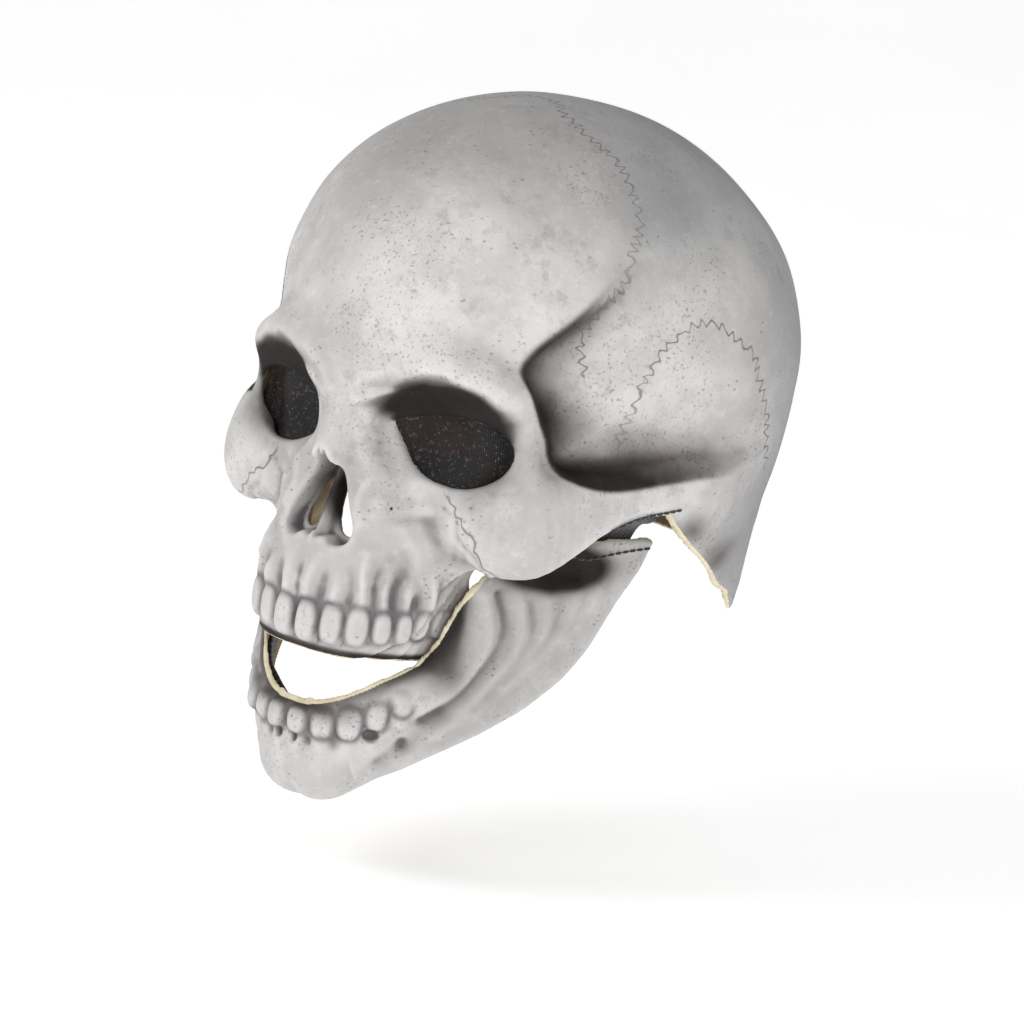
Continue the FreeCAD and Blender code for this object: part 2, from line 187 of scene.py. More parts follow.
# Side views are (y, z). Front views are (x, z) on one side of the face.
TEMPLE_LINE = ((-60, 91), (-70, 79), (-80, 67), (-88, 57), (-91.5, 48), (-90.5, 40), (-86, 33), (-81.5, 25),
    (-79.5, 17), (-75, 11.5), (-64, 11), (-48, 14), (-30, 16.5), (-14, 18), (4, 22))
TEMPLE_REAR = ((30, 40), (22, 80), (-30, 104))
ARCH = ((44, -96, -8), (58, -90, -10), (69, -82.5, -8.5), (78, -71.5, -2.5), (85, -57, 3.5), (91, -41, 8),
    (93, -25, 10.5), (95, -10, 12))
ARCH_RADII = (7, 9.5, 9.5, 8, 6.6, 5.4, 4.6, 3.6)
HEAD_RIM = ((140, -18), (95, -25), (70, -28), (55, -29), (44, -30), (40, -31), (37, -34), (35, -42),
    (32, -43), (27, -35), (4, -24), (-20, -12), (-29, -6), (-38, 0.5), (-51, -0.5), (-60, -4), (-67, -9),
    (-73, -17), (-78, -26), (-80, -33), (-79, -39), (-77, -60), (-82, -66), (-150, -67.5), (-150, 160),
    (140, 160))
EYE = ((15, 21), (22, 24), (36, 27), (50, 27), (58, 23), (60, 16), (56, 8.5), (46, 2.5), (34, 2.5), (24, 7),
    (18, 14))
NOSE = ((0, 6), (3.5, 4), (7.5, -4), (11.5, -12), (14.5, -19), (14, -24), (9.5, -26), (5, -23.5), (0, -22))
NOSE_HOLE = ((2, 2), (5.5, -3), (9.5, -11), (12.5, -18.5), (10.5, -23), (6, -22), (3, -14))


def braincase(p):
    x, y, z = p
    drop = 170 - 18 * smooth((y - CY) / 100 + 0.5)
    h = np.where(z >= CZ, RISE, drop)
    l = np.where(y >= CY, BACK, FRONT)
    w = HALF_WIDTH * (1 - 0.34 * np.clip((CY - y) / FRONT, 0, 1.15) ** 2.15)
    qx, qy, qz = x / w, (y - CY) / l, (z - CZ) / h
    k0 = np.sqrt(qx**2 + qy**2 + qz**2)
    k1 = np.sqrt((qx / w) ** 2 + (qy / l) ** 2 + (qz / h) ** 2)
    return k0 * (k0 - 1.0) / np.maximum(k1, 1e-6)


def upper_jaw(p):
    x, y, z = p
    levels = (-80, -66, -61, -52, -46, -40, -30, -22, -8, 6)
    rx = np.interp(z, levels, (34, 34.5, 35, 36, 38, 38.5, 37, 34.5, 28, 20))
    ry = np.interp(z, levels, (38, 38.5, 39, 40, 42.5, 43, 41.5, 40, 36, 32))
    n = 2.3
    u = np.abs(x) / rx
    v = np.maximum(-(y + 86), 0) / ry
    k0 = np.maximum((u**n + v**n) ** (1 / n), 1e-4)
    slope = np.sqrt((u ** (n - 1) / rx) ** 2 + (v ** (n - 1) / ry) ** 2) * k0 ** (1 - n)
    return np.maximum.reduce([(k0 - 1) / np.maximum(slope, 1e-3), z - 4, y + 30])


def temple_hollow(x, y, z, grow=0.0):
    """How deep the temple lies: a crisp step in front and above the cheekbone's arch, fading backwards. grow
    widens the hollow."""
    line = curve_through(TEMPLE_LINE, 3)
    inside = polygon(y, z, np.concatenate([line, TEMPLE_REAR])) < 0
    step = to_line(y, z, line)
    step = np.where(inside, step, -step) + grow
    deep = np.interp(z, (15, 30, 60, 90), (9.5, 11, 8, 4.5))
    deep = deep * (1 - np.exp(-((step / 3.2) ** 2))) * np.exp(-step / 30)
    fade = (1 - smooth((y + 30) / 45)) * smooth((102 - z) / 35)
    return np.where((step > 0) & (x > 30), deep * fade, 0)


def head_base(p, grow=0.0):
    """The skull's large forms."""
    x, y, z = p
    q = (np.abs(x), y, z)
    f = braincase(p) + temple_hollow(*q, grow)
    f = carve(f, ellipsoid(q, (107, -62, -36), (18, 40, 20)), 14)
    brow = ((0, -113, 35), (18, -111, 41), (39, -105.5, 43.5), (55.5, -93, 36))
    f = join(f, tube(q, brow, (8, 8, 8, 7)), 8)
    f = join(f, tube(q, ((55, -93, 36), (59.5, -88.5, 20), (60.5, -87, 2)), (7, 5.2, 7.5)), 6)
    f = join(f, tube(q, ARCH, ARCH_RADII, (1, 1, 1.8)), 8)
    f = join(f, upper_jaw(p), 9)
    f = join(f, tube(q, ((0, -112, 28), (0, -119, 16), (0, -124, 5)), (7, 6, 5.5)), 8)
    f = join(f, tube(q, ((10, -107, 26), (14, -110, 4), (17, -113, -12)), (6, 6.5, 7)), 7)
    f = carve(f, ellipsoid(q, (37, -116, 18), (24.5, 18, 18.5)), 5)
    f = carve(f, ellipsoid(q, (38, -118, -34), (11, 14, 14)), 9)
    f = join(f, tube(q, ((80, 26, -6), (79.5, 30, -24), (78, 34, -60)), (5, 5.5, 5.5), (1, 1.5, 1)), 9)
    nose = np.maximum(polygon(np.abs(x), z, curve_through(NOSE, 3, True)), y + 90)
    return carve(f, np.maximum(nose, -(f + 9)), 2.5)


def dental_arch(half_width, reach, back_y, power):
    """A function from the distance round half a dental arch to the place there and the way out of it."""
    turn = np.linspace(0, math.pi / 2, 240)
    sideways, ahead = np.sin(turn) ** (2 / power), np.cos(turn) ** (2 / power)
    line = np.stack([half_width * sideways, back_y - reach * ahead], 1)
    line = np.concatenate([line, line[-1:] + [[0.4, 14]]])
    travelled = np.concatenate([[0], np.cumsum(np.linalg.norm(np.diff(line, axis=0), axis=1))])

    def spot(distance):
        here = np.array([np.interp(distance, travelled, line[:, i]) for i in (0, 1)])
        ahead = np.array([np.interp(distance + 1, travelled, line[:, i]) for i in (0, 1)])
        along = (ahead - here) / np.linalg.norm(ahead - here)
        return here, along, np.array([along[1], -along[0]])

    return spot


def teeth(spot, rows, sink):
    """Each tooth as (middle, along, outward, radii), from rows of (width, height, level)."""
    found = []
    edge = 0.2
    for width, height, level in rows:
        here, along, out = spot(edge + width / 2)
        middle = here - out * sink
        found.append((np.array([*middle, level]), along, out, (width * 0.485, 4.4, height / 2)))
        edge += width
    return found


UPPER_TEETH = teeth(
    dental_arch(36, 40.5, -86, 2.3),
    ((9.8, 16.5, -54.6), (9.6, 16, -53.8), (9.4, 15.5, -53.2), (8.4, 13, -52.9), (8, 12.5, -52.4),
    (9, 12, -51.6), (9.2, 11.5, -51), (8.2, 10.5, -50.6)), 1.2)
LOWER_TEETH = teeth(
    dental_arch(50, 82, -40, 2.0),
    ((9, 11, -92.6), (9.6, 12, -92.2), (10, 13, -90.4), (9, 11.5, -86.6), (8.2, 9.5, -81)), 1.0)


def tooth_axes(q, tooth):
    x, y, z = q
    middle, along, out, radii = tooth
    a = (x - middle[0]) * along[0] + (y - middle[1]) * along[1]
    b = (x - middle[0]) * out[0] + (y - middle[1]) * out[1]
    return a, b, z - middle[2]


def add_teeth(f, q, row, flip):
    """Crowns that narrow towards the gum, a little uneven. flip is 1 where the gum is above."""
    for i, tooth in enumerate(row):
        middle, _, _, radii = tooth

        def crown(r, tooth=tooth, radii=radii, i=i):
            a, b, c = tooth_axes(r, tooth)
            a = a * (1 + 0.13 * flip * c / radii[2]) + 0.25 * math.sin(5 * i)
            b = b + 0.02 * a * a - 0.35 * math.cos(3 * i) - 0.06 * flip * c
            return pebble(a, b, c, radii)

        f = join(f, local(q, [middle], 22, crown), 1.1)
    return f


def root_relief(q, row, reach, flip, height):
    """The swellings over the tooth roots, with hollows between them."""
    total = np.zeros(q[0].shape, np.float32)
    for i, tooth in enumerate(row):
        a, b, c = tooth_axes(q, tooth)
        radii = tooth[3]
        up = flip * c - radii[2] * 0.5
        long = reach * (1.2 if i == 2 else 0.85 + 0.15 * math.cos(2.3 * i)) * (0.8 if i > 5 else 1)
        a = a + 0.8 * np.sin(up / 5 + 2 * i)
        window = smooth(up / 5) * (1 - smooth((up - 0.45 * long) / (0.6 * long)))
        ridge = np.exp(-((a / (0.72 * radii[0])) ** 2)) - 0.45 * np.exp(-((a / (1.7 * radii[0])) ** 2))
        total += np.where(np.abs(b) < 13, height * ridge * window, 0)
    return total


HEAD_WELTS = (
    # front view: line, width, height
    (((27, 34), (31, 39), (38, 41)), 2.2, -0.9),  # notch over each eye
    (((6, 30), (10, 36), (20, 42)), 3.0, 0.9),
    (((8, 27), (17, 31), (26, 33)), 2.0, 0.8),
    (((22, -7), (29, -9.5), (34, -8)), 2.4, 0.8),
    (((40, -6), (46, -9), (47, -16), (54, -22), (55, -29)), 1.1, -0.8),  # the cheekbone's joint
    (((17, 0), (15, -8), (18, -16)), 2.0, 0.8),
    (((30, -16), (34, -26), (33, -38)), 2.6, 1.3),
    (((24, -26), (25, -36)), 2.2, 0.9),
)


def rolling(x, y, z, size):
    """Slow, even undulation of hand-sculpted clay, between about -1 and 1."""
    a = np.sin(x / size + 1.7 * np.sin(y / size * 0.8 + 1)) * np.cos(z / size * 1.1 + 0.6)
    b = np.sin((y + z) / size * 0.7 + 2.1) * np.sin((x - z) / size * 0.9 + 0.4)
    return 0.6 * a + 0.5 * b


def room_for_jaw(x, y, z):
    """Where the jaw's wall passes as it closes, with a hair round it."""
    near = np.full(x.shape, 9.0, np.float32)
    for degrees in (1, -1.5, -4.3):
        c, s = math.cos(math.radians(degrees)), math.sin(math.radians(degrees))
        v = (x, c * y + s * z, c * z - s * y)
        wall = np.maximum(np.abs(jaw_base(v) + 1.8) - 3.3, polygon(v[1], v[2], JAW_RIM) - 1.0)
        near = np.minimum(near, wall)
    return near


def head_surface(p):
    """The outside of the head: its large forms with teeth, roots and sculpted relief."""
    x, y, z = p
    q = (np.abs(x), y, z)
    f = head_base(p)
    front = y < -60
    relief = np.zeros(x.shape, np.float32)
    for line, width, height in HEAD_WELTS:
        relief += np.where(front, welt(q[0], z, line, width, height), 0)
    relief += 0.45 * rolling(x, y, z, 11) + 0.22 * rolling(z, x, y, 4.5) * (z < 45)
    relief += root_relief(q, UPPER_TEETH, 23, 1, 4.3)
    f = f - relief
    f = add_teeth(f, q, UPPER_TEETH, 1)
    septum = bar(q, (0, -112, 3), (0, -119, -24), 1.7, 2.6)
    low = (z < -15) & (y < -60)
    f[low] = carve(f[low], room_for_jaw(x[low], y[low], z[low]), 1.5)
    f = dent(f, q, (23.5, -110, -9), (2.6, 5, 1.2), 1.2)  # below each eye
    return join(f, septum, 2.0)


def openings(f, p):
    """Eye and nose holes cut through a wall."""
    x, y, z = p
    for outline in (EYE, NOSE_HOLE):
        hole = np.maximum(polygon(np.abs(x), z, curve_through(outline, 4, True)), y + 60)
        f = carve(f, hole, 1.5)
    return f


def shell(outside, inner, rim, rounding):
    """A moulded wall: outside is its outer face, inner the smoother form that its inner face follows except
    under deep grooves. It ends at the rim, where its outer edge is rounded."""
    cavity = np.maximum(inner + SKIN, outside + 0.85 * SKIN)
    return np.maximum(carve(outside, -rim, rounding), -cavity)


def head_wall(p):
    x, y, z = p
    base = head_base(p)
    rim = polygon(y, z, HEAD_RIM)
    tucked = (y < -30) & (z > -50)
    rounding = np.where(tucked, 5.0, 2.5)
    temple = (np.abs(x) > 34) & (y > -100) & (y < 25) & (z > 2) & (z < 104)
    inner = base.copy()
    inner[temple] = head_base(tuple(v[temple] for v in p), 3.0)
    wall = shell(head_surface(p), inner, rim, rounding)
    # behind the ear only the outer side goes down to the tip
    behind_ear = np.maximum.reduce([np.abs(x) - 77.5, z + 30, 15 - y])
    return openings(np.maximum(wall, -behind_ear), p)


# ==== the jaw ====
JAW_RIM = ((-140, -86), (-121, -86), (-115, -81), (-108, -74), (-98, -65.5), (-93, -57), (-89, -45),
    (-85, -36), (-80, -29.5), (-67, -23), (-52, -18), (-32, -14.5), (-14, -13.5), (-11, -15), (-14, -22),
    (-25, -40), (-33, -56), (-43, -69), (-55, -79), (-68, -88), (-79, -96), (-88, -104), (-96, -113),
    (-101, -124), (-110, -131), (-140, -131))
JAW_WELTS = (
    # side view: line, width, height
    (((-82, -38), (-79, -50), (-81, -62), (-88, -74), (-96, -80)), 3.6, 2.6),
    (((-75, -37), (-71, -48), (-73, -60), (-82, -74), (-93, -86)), 2.6, -1.6),
    (((-69, -36), (-66, -50), (-71, -64), (-83, -80), (-96, -94)), 3.4, 1.6),
    (((-63, -40), (-60, -52), (-67, -66), (-78, -80)), 2.4, -0.6),
    (((-57, -38), (-56, -50), (-64, -64), (-77, -80), (-90, -92)), 2.8, 1.1),
    (((-50, -38), (-51, -48), (-60, -61), (-73, -76)), 2.4, -0.5),
    (((-45, -33), (-46, -45), (-55, -58), (-68, -72)), 2.6, 0.9),
    (((-39, -33), (-42, -44), (-52, -56)), 2.4, -0.35),
    (((-34, -27), (-37, -40), (-47, -53)), 3.0, 0.8),
    (((-28, -24), (-32, -35)), 2.4, -0.25),
    (((-88, -84), (-95, -93), (-101, -104)), 3.0, -1.3),
    (((-101, -86), (-107, -98), (-107, -112)), 3.4, 1.0),
)


def jaw_base(p):
    x, y, z = p
    sx = np.sqrt(np.clip(1 - (np.maximum(-78 - z, 0) / 50) ** 2, 0.03, 1))
    sy = np.sqrt(np.clip(1 - (np.maximum(-95 - z, 0) / 39) ** 2, 0.03, 1))
    ax = np.abs(x) / sx
    yy = y / sy - 55 * (1 - 1 / sy)
    flare = 28 * (np.maximum(0, yy + 122) / 122) ** 1.5
    u = np.maximum(ax - flare, 0) / 50
    v = np.maximum(-40 - yy, 0) / 82
    k0 = np.maximum(np.sqrt(u**2 + v**2), 1e-4)
    slope = np.sqrt((u / 50) ** 2 + (v / 82) ** 2) / k0
    d = (k0 - 1) / np.maximum(slope, 1e-3) * sx
    q = (np.abs(x), y, z)
    d = join(d, ellipsoid(q, (6, -105, -111), (13, 13.5, 13)), 10)
    return carve(d, ellipsoid(q, (65, -59, -27), (9, 17, 7.5)), 4)


def jaw_surface(p):
    x, y, z = p
    q = (np.abs(x), y, z)
    f = jaw_base(p)
    relief = np.zeros(x.shape, np.float32)
    for line, width, height in JAW_WELTS:
        relief += np.where(q[0] > 22, welt(y, z, line, width, height), 0)
    lower_edge = to_line(y, z, ((-18, -26), (-34, -50), (-50, -69), (-70, -85), (-90, -99), (-100, -112)))
    relief += 0.9 * np.exp(-((lower_edge / 5) ** 2))
    relief += 0.35 * rolling(x, y, z, 9) + 0.25 * rolling(z, x, y, 4)
    relief += root_relief(q, LOWER_TEETH, 12, -1, 2.2)
    f = f - relief
    f = add_teeth(f, q, LOWER_TEETH, -1)
    dents = (((27.8, -107.4, -94.2), (3.6, 2.8, 2.4)), ((35.5, -98.2, -97.5), (2.8, 2.8, 4.0)),
        ((3.5, -121.5, -99.5), (1.36, 2.4, 2.04)), ((9, -121.5, -100), (1.2, 2.4, 1.8)),
        ((15.5, -121.5, -97.5), (1.6, 2.4, 2.4)))
    for spot, radii in dents:
        f = dent(f, q, spot, radii, 2)
    return f


def jaw_wall(p):
    return shell(jaw_surface(p), jaw_base(p), polygon(p[1], p[2], JAW_RIM), 3.0)


# ==== from fields to meshes ====


def sample_band(field, low, high, step):
    """Field values on a grid, worked out only near the surface, and the grid cells that may hold it."""
    reach = 2.0
    low = np.array(low, float)
    size = 8  # blocks of cells, halved down to single ones
    n = np.ceil((np.array(high) - low) / step / size).astype(int) * size + 1
    starts = [np.arange(0, n[i] - 1, size) for i in range(3)]
    cells = np.stack(np.meshgrid(*starts, indexing="ij"), -1).reshape(-1, 3)
    while size > 1:
        middle = (low + (cells + size / 2) * step).astype(np.float32)
        value = field((middle[:, 0], middle[:, 1], middle[:, 2]))
        cells = cells[np.abs(value) < reach + size * step * 1.1]
        size //= 2
        parts = np.array([(i, j, k) for i in (0, size) for j in (0, size) for k in (0, size)])
        cells = (cells[:, None, :] + parts[None]).reshape(-1, 3)
    need = np.zeros(n, bool)
    for i, j, k in np.ndindex(2, 2, 2):
        need[cells[:, 0] + i, cells[:, 1] + j, cells[:, 2] + k] = True
    spots = (low + np.argwhere(need) * step).astype(np.float32)
    grid = np.full(n, 9.0, np.float32)
    grid[need] = field((spots[:, 0], spots[:, 1], spots[:, 2]))
    return grid, cells, low


def surface_of(field, low, high, step):
    """Vertices and quads of a field's zero surface."""
    grid, cells, low = sample_band(field, low, high, step)
    corners = np.array(list(np.ndindex(2, 2, 2)))
    value = np.stack([grid[cells[:, 0] + i, cells[:, 1] + j, cells[:, 2] + k] for i, j, k in corners], 1)
    below = value < 0
    mixed = below.any(1) & ~below.all(1)
    cells, value = cells[mixed], value[mixed]
    total = np.zeros((len(cells), 3))
    count = np.zeros(len(cells))
    for a in range(8):
        for b in range(a + 1, 8):
            if np.abs(corners[a] - corners[b]).sum() != 1:
                continue
            va, vb = value[:, a], value[:, b]
            crossed = (va < 0) != (vb < 0)
            t = np.where(crossed, va / np.where(crossed, va - vb, 1), 0)
            total += np.where(crossed[:, None], corners[a] + t[:, None] * (corners[b] - corners[a]), 0)
            count += crossed
    verts = low + (cells + total / count[:, None]) * step
    index = np.full(grid.shape, -1, np.int32)
    index[tuple(cells.T)] = np.arange(len(cells))
    quads = []
    for axis in range(3):
        step_along, step_u, step_v = np.roll(np.eye(3, dtype=int), axis, 1)
        here = grid[tuple(cells.T)]
        ahead = grid[tuple((cells + step_along).T)]
        crossed = ((here < 0) != (ahead < 0)) & (cells @ step_u > 0) & (cells @ step_v > 0)
        at = cells[crossed]
        quad = np.stack([index[tuple((at - d).T)] for d in (0 * step_u, step_u, step_u + step_v, step_v)], 1)
        turned = here[crossed] >= 0
        quad[turned] = quad[turned][:, ::-1]
        quads.append(quad[(quad >= 0).all(1)])
    return verts, np.concatenate(quads)


# ==== making meshes ====


def make_mesh(name, verts, faces, material):
    """A smooth-shaded object from millimetres. faces is an array of quads, or a list of faces."""
    mesh = bpy.data.meshes.new(name)
    verts = np.asarray(verts, np.float32) / 1000
    if isinstance(faces, np.ndarray):
        count, sides = faces.shape
        mesh.vertices.add(len(verts))
        mesh.vertices.foreach_set("co", verts.ravel())
        mesh.loops.add(count * sides)
        mesh.loops.foreach_set("vertex_index", faces.astype(np.int32).ravel())
        mesh.polygons.add(count)
        mesh.polygons.foreach_set("loop_start", np.arange(0, count * sides, sides, dtype=np.int32))
        mesh.update(calc_edges=True)
    else:
        mesh.from_pydata(verts.tolist(), [], faces)
    mesh.validate()
    mesh.polygons.foreach_set("use_smooth", np.ones(len(mesh.polygons), bool))
    mesh.materials.append(material)
    obj = bpy.data.objects.new(name, mesh)
    bpy.context.scene.collection.objects.link(obj)
    return obj


def mark(obj, name, values):
    """Stores one number, or three, at each vertex for the materials to read."""
    values = np.asarray(values, np.float32)
    kind, field = ("FLOAT", "value") if values.ndim == 1 else ("FLOAT_VECTOR", "vector")
    obj.data.attributes.new(name, kind, "POINT").data.foreach_set(field, values.ravel())


def stand_in(obj, node, body):
    """Puts a new piece in a CAD node's place."""
    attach(obj, body)
    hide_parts(node)


def normals_of(obj):
    out = np.zeros(len(obj.data.vertices) * 3, np.float32)
    obj.data.vertices.foreach_get("normal", out)
    return out.reshape(-1, 3)


def verts_of(obj):
    out = np.zeros(len(obj.data.vertices) * 3, np.float32)
    obj.data.vertices.foreach_get("co", out)
    return out.reshape(-1, 3) * 1000


def along_seam(verts, points, centre):
    """How far along a line each vertex is and how far to one side, seen from the centre of a rounded form."""
    centre = np.array(centre, float)
    line = curve_through(points, 3) - centre
    line /= np.linalg.norm(line, axis=1, keepdims=True)
    rel = verts - centre
    far = np.linalg.norm(rel, axis=1)
    way = rel / far[:, None]
    best = np.full(len(verts), 9.0)
    along = np.zeros(len(verts))
    across = np.zeros(len(verts))
    travelled = 0.0
    for a, b in zip(line, line[1:]):
        square = np.cross(a, b)
        length = np.linalg.norm(square)
        square /= length
        ahead = np.cross(square, a)
        turn = math.asin(min(1.0, length))
        share = np.clip(np.arctan2(way @ ahead, way @ a) / turn, 0, 1)
        near = np.cos(share * turn)[:, None] * a + np.sin(share * turn)[:, None] * ahead
        gap = np.linalg.norm(way - near, axis=1)
        closer = gap < best
        best = np.where(closer, gap, best)
        along = np.where(closer, (travelled + share * turn) * SKULL_RADIUS, along)
        across = np.where(closer, np.sign(way @ square) * gap * far, across)
        travelled += turn
    return np.stack([along, np.clip(across, -20, 20), np.zeros(len(verts))], 1)


# ==== materials ====


class Nodes:
    """One material's nodes, made from the leaves up. An input may be a number or a socket, and is given by
    its name, or by i and its number."""

    def __init__(self, name):
        self.material = bpy.data.materials.new(name)
        self.material.use_nodes = True
        self.tree = self.material.node_tree
        self.tree.nodes.clear()

    def add(self, kind, out=0, settings=None, **inputs):
        node = self.tree.nodes.new("ShaderNode" + kind)
        for key, value in (settings or {}).items():
            setattr(node, key, value)
        for key, value in inputs.items():
            numbered = key[0] == "i" and key[1:].isdigit()
            socket = node.inputs[int(key[1:]) if numbered else key.replace("_", " ")]
            if isinstance(value, bpy.types.NodeSocket):
                self.tree.links.new(value, socket)
            else:
                socket.default_value = value
        return node.outputs[out]

    def value(self, name):
        return self.add("Attribute", 2, {"attribute_name": name})

    def parts(self, name):
        """The three numbers of a mark."""
        split = self.tree.nodes.new("ShaderNodeSeparateXYZ")
        self.tree.links.new(self.add("Attribute", 1, {"attribute_name": name}), split.inputs[0])
        return split.outputs

    def place(self, scale=(1, 1, 1)):
        return self.add("Mapping", Vector=self.add("TexCoord", 3), Scale=scale)

    def noise(self, scale, detail=3.0, rough=0.5, distortion=0.0):
        inputs = {"Scale": scale, "Detail": detail, "Roughness": rough, "Distortion": distortion}
        return self.add("TexNoise", 0, Vector=self.place(), **inputs)

    def math(self, how, a, b=0.0, c=0.0):
        return self.add("Math", 0, {"operation": how}, i0=a, i1=b, i2=c)

    def between(self, value, low, high, out_low=0.0, out_high=1.0):
        """value carried from low..high to out_low..out_high, with soft ends."""
        settings = {"interpolation_type": "SMOOTHSTEP"}
        return self.add("MapRange", 0, settings, i0=value, i1=low, i2=high, i3=out_low, i4=out_high)

    def mix(self, share, a, b):
        settings = {"data_type": "RGBA"}
        a, b = (v if isinstance(v, bpy.types.NodeSocket) else (*v, 1.0) for v in (a, b))
        return self.add("Mix", 2, settings, i0=share, i6=a, i7=b)

    def bump(self, height, strength, distance):
        return self.add("Bump", Height=height, Strength=strength, Distance=distance)

    def finish(self, colour, rough, normal=None, **more):
        inputs = {"Base_Color": colour, "Roughness": rough, **more}
        if normal is not None:
            inputs["Normal"] = normal
        output = self.tree.nodes.new("ShaderNodeOutputMaterial")
        self.tree.links.new(self.add("BsdfPrincipled", 0, None, **inputs), output.inputs["Surface"])
        return self.material


def seam(n, name, period, swing):
    """How near a point is to a wandering stitched-looking line, 1 on it, from the marks along_seam made."""
    along, across, _ = n.parts(name)
    wander = n.noise(90, 2)
    phase = n.math("MULTIPLY_ADD", along, 2 * math.pi / period, n.math("MULTIPLY", wander, 14.0))
    wave = n.math("MULTIPLY", n.math("SINE", phase), swing)
    drift = n.between(n.noise(45, 1), 0.3, 0.7, -1.6, 1.6)
    return n.math("ABSOLUTE", n.math("ADD", n.math("ADD", across, wave), drift))


def bone_latex():
    """Pale airbrushed latex, cream where it was cut, and inside a darker amber that also paints in the shade
    within the mask.
    """
    n = Nodes("bone_latex")
    clouds = n.noise(11, 4, 0.6)
    mottle = n.noise(55, 6, 0.62)
    fine = n.noise(260, 4, 0.6)
    grain = n.noise(900, 2)
    colour = n.mix(n.between(clouds, 0.36, 0.64), (0.50, 0.49, 0.478), (0.70, 0.69, 0.675))
    colour = n.mix(n.between(mottle, 0.36, 0.58, 0.42, 0.0), colour, (0.44, 0.425, 0.415))
    colour = n.mix(n.between(fine, 0.52, 0.74, 0.0, 0.32), colour, (0.80, 0.79, 0.775))
    scuffed = n.between(n.noise(26, 3), 0.48, 0.62)
    scuffs = n.math("MULTIPLY", n.between(n.noise(120, 5, 0.7), 0.52, 0.64), scuffed)
    colour = n.mix(n.math("MULTIPLY", scuffs, 0.38), colour, (0.33, 0.305, 0.29))
    # ridges lighter: drybrushed wear, and a painted highlight on them
    colour = n.mix(n.math("MULTIPLY", n.value("raised"), 0.5), colour, (0.84, 0.83, 0.815))
    # painted shade: greyer where the head lies away from the lamps, on its top, its back and the jaw
    colour = n.mix(n.value("painted_shade"), colour, (0.20, 0.20, 0.215))
    # recesses airbrushed dark, which also paints in the shade that falls in them
    hollow = n.value("hollow")
    brushed = n.math("MULTIPLY", hollow, n.between(mottle, 0.3, 0.7, 0.8, 1.15))
    colour = n.mix(n.between(brushed, 0.03, 0.85, 0.0, 0.9), colour, (0.15, 0.132, 0.138))
    outline = n.math("MULTIPLY", n.value("tooth_line"), n.between(mottle, 0.3, 0.6, 0.55, 1.0))
    colour = n.mix(outline, colour, (0.165, 0.142, 0.15))
    # specks and pits
    where = n.between(n.noise(19, 3), 0.46, 0.64)
    specks = n.between(n.noise(820, 2, 0.55), 0.60, 0.70)
    speck = n.math("MULTIPLY", specks, n.math("MULTIPLY", where, 0.5))
    colour = n.mix(speck, colour, (0.17, 0.145, 0.13))
    cells = n.add("TexVoronoi", 0, Vector=n.place((1, 1, 1.5)), Scale=330, Randomness=1.0)
    chosen = n.between(n.noise(70, 2), 0.52, 0.66)
    pits = n.math("MULTIPLY", n.between(cells, 0.06, 0.25, 1.0, 0.0), chosen)
    colour = n.mix(n.math("MULTIPLY", pits, 0.45), colour, (0.22, 0.20, 0.195))
    # airbrushed black, and painted shade where it darkens the downward-facing roofs over the eyes
    black_paint_and_shade = n.value("black_paint_and_shade")
    black_paint_and_shade = n.math("MULTIPLY", black_paint_and_shade, n.between(n.noise(34, 5), 0.3, 0.7, 0.82, 1.15))
    colour = n.mix(n.between(black_paint_and_shade, 0.0, 0.75, 0.0, 0.85), colour, (0.095, 0.078, 0.07))
    colour = n.mix(n.between(black_paint_and_shade, 0.45, 1.0, 0.0, 0.95), colour, (0.012, 0.010, 0.009))
    # sutures and cracks
    lines = []
    for name, period, swing in (("coronal", 5.2, 1.5), ("squamosal", 5.6, 1.4), ("lambdoid", 6.0, 1.7)):
        lines.append(n.between(seam(n, name, period, swing), 0.15, 0.75, 1.0, 0.0))
    lines.append(n.between(seam(n, "cheek_crack", 17.0, 0.7), 0.1, 0.6, 1.0, 0.0))
    seams = lines[0]
    for line in lines[1:]:
        seams = n.math("MAXIMUM", seams, line)
    patchy = n.between(n.noise(40, 2), 0.35, 0.55, 0.35, 1.0)
    colour = n.mix(n.math("MULTIPLY", seams, n.math("MULTIPLY", patchy, 0.8)), colour, (0.20, 0.185, 0.18))
    # natural latex: amber inside, darkened as painted shade within the mask, and pale cream on the cut edge
    cream = n.mix(n.between(n.noise(40, 4), 0.3, 0.7), (0.23, 0.165, 0.09), (0.34, 0.26, 0.155))
    colour = n.mix(n.between(n.value("inside"), 0.35, 0.65), colour, cream)
    edge = n.mix(n.between(fine, 0.3, 0.7), (0.72, 0.62, 0.42), (0.84, 0.77, 0.58))
    colour = n.mix(n.between(n.value("cut"), 0.45, 0.75), colour, edge)
    rough = n.between(mottle, 0.3, 0.7, 0.70, 0.88)
    height = n.math("MULTIPLY_ADD", fine, 0.55, n.math("MULTIPLY", mottle, 1.0))
    height = n.math("MULTIPLY_ADD", grain, 0.18, height)
    height = n.math("MULTIPLY_ADD", pits, -1.4, height)
    height = n.math("MULTIPLY_ADD", speck, -0.7, height)
    height = n.math("MULTIPLY_ADD", seams, -1.3, height)
    normal = n.bump(height, 0.55, 0.0011)
    return n.finish(colour, rough, normal, Specular_IOR_Level=0.25)


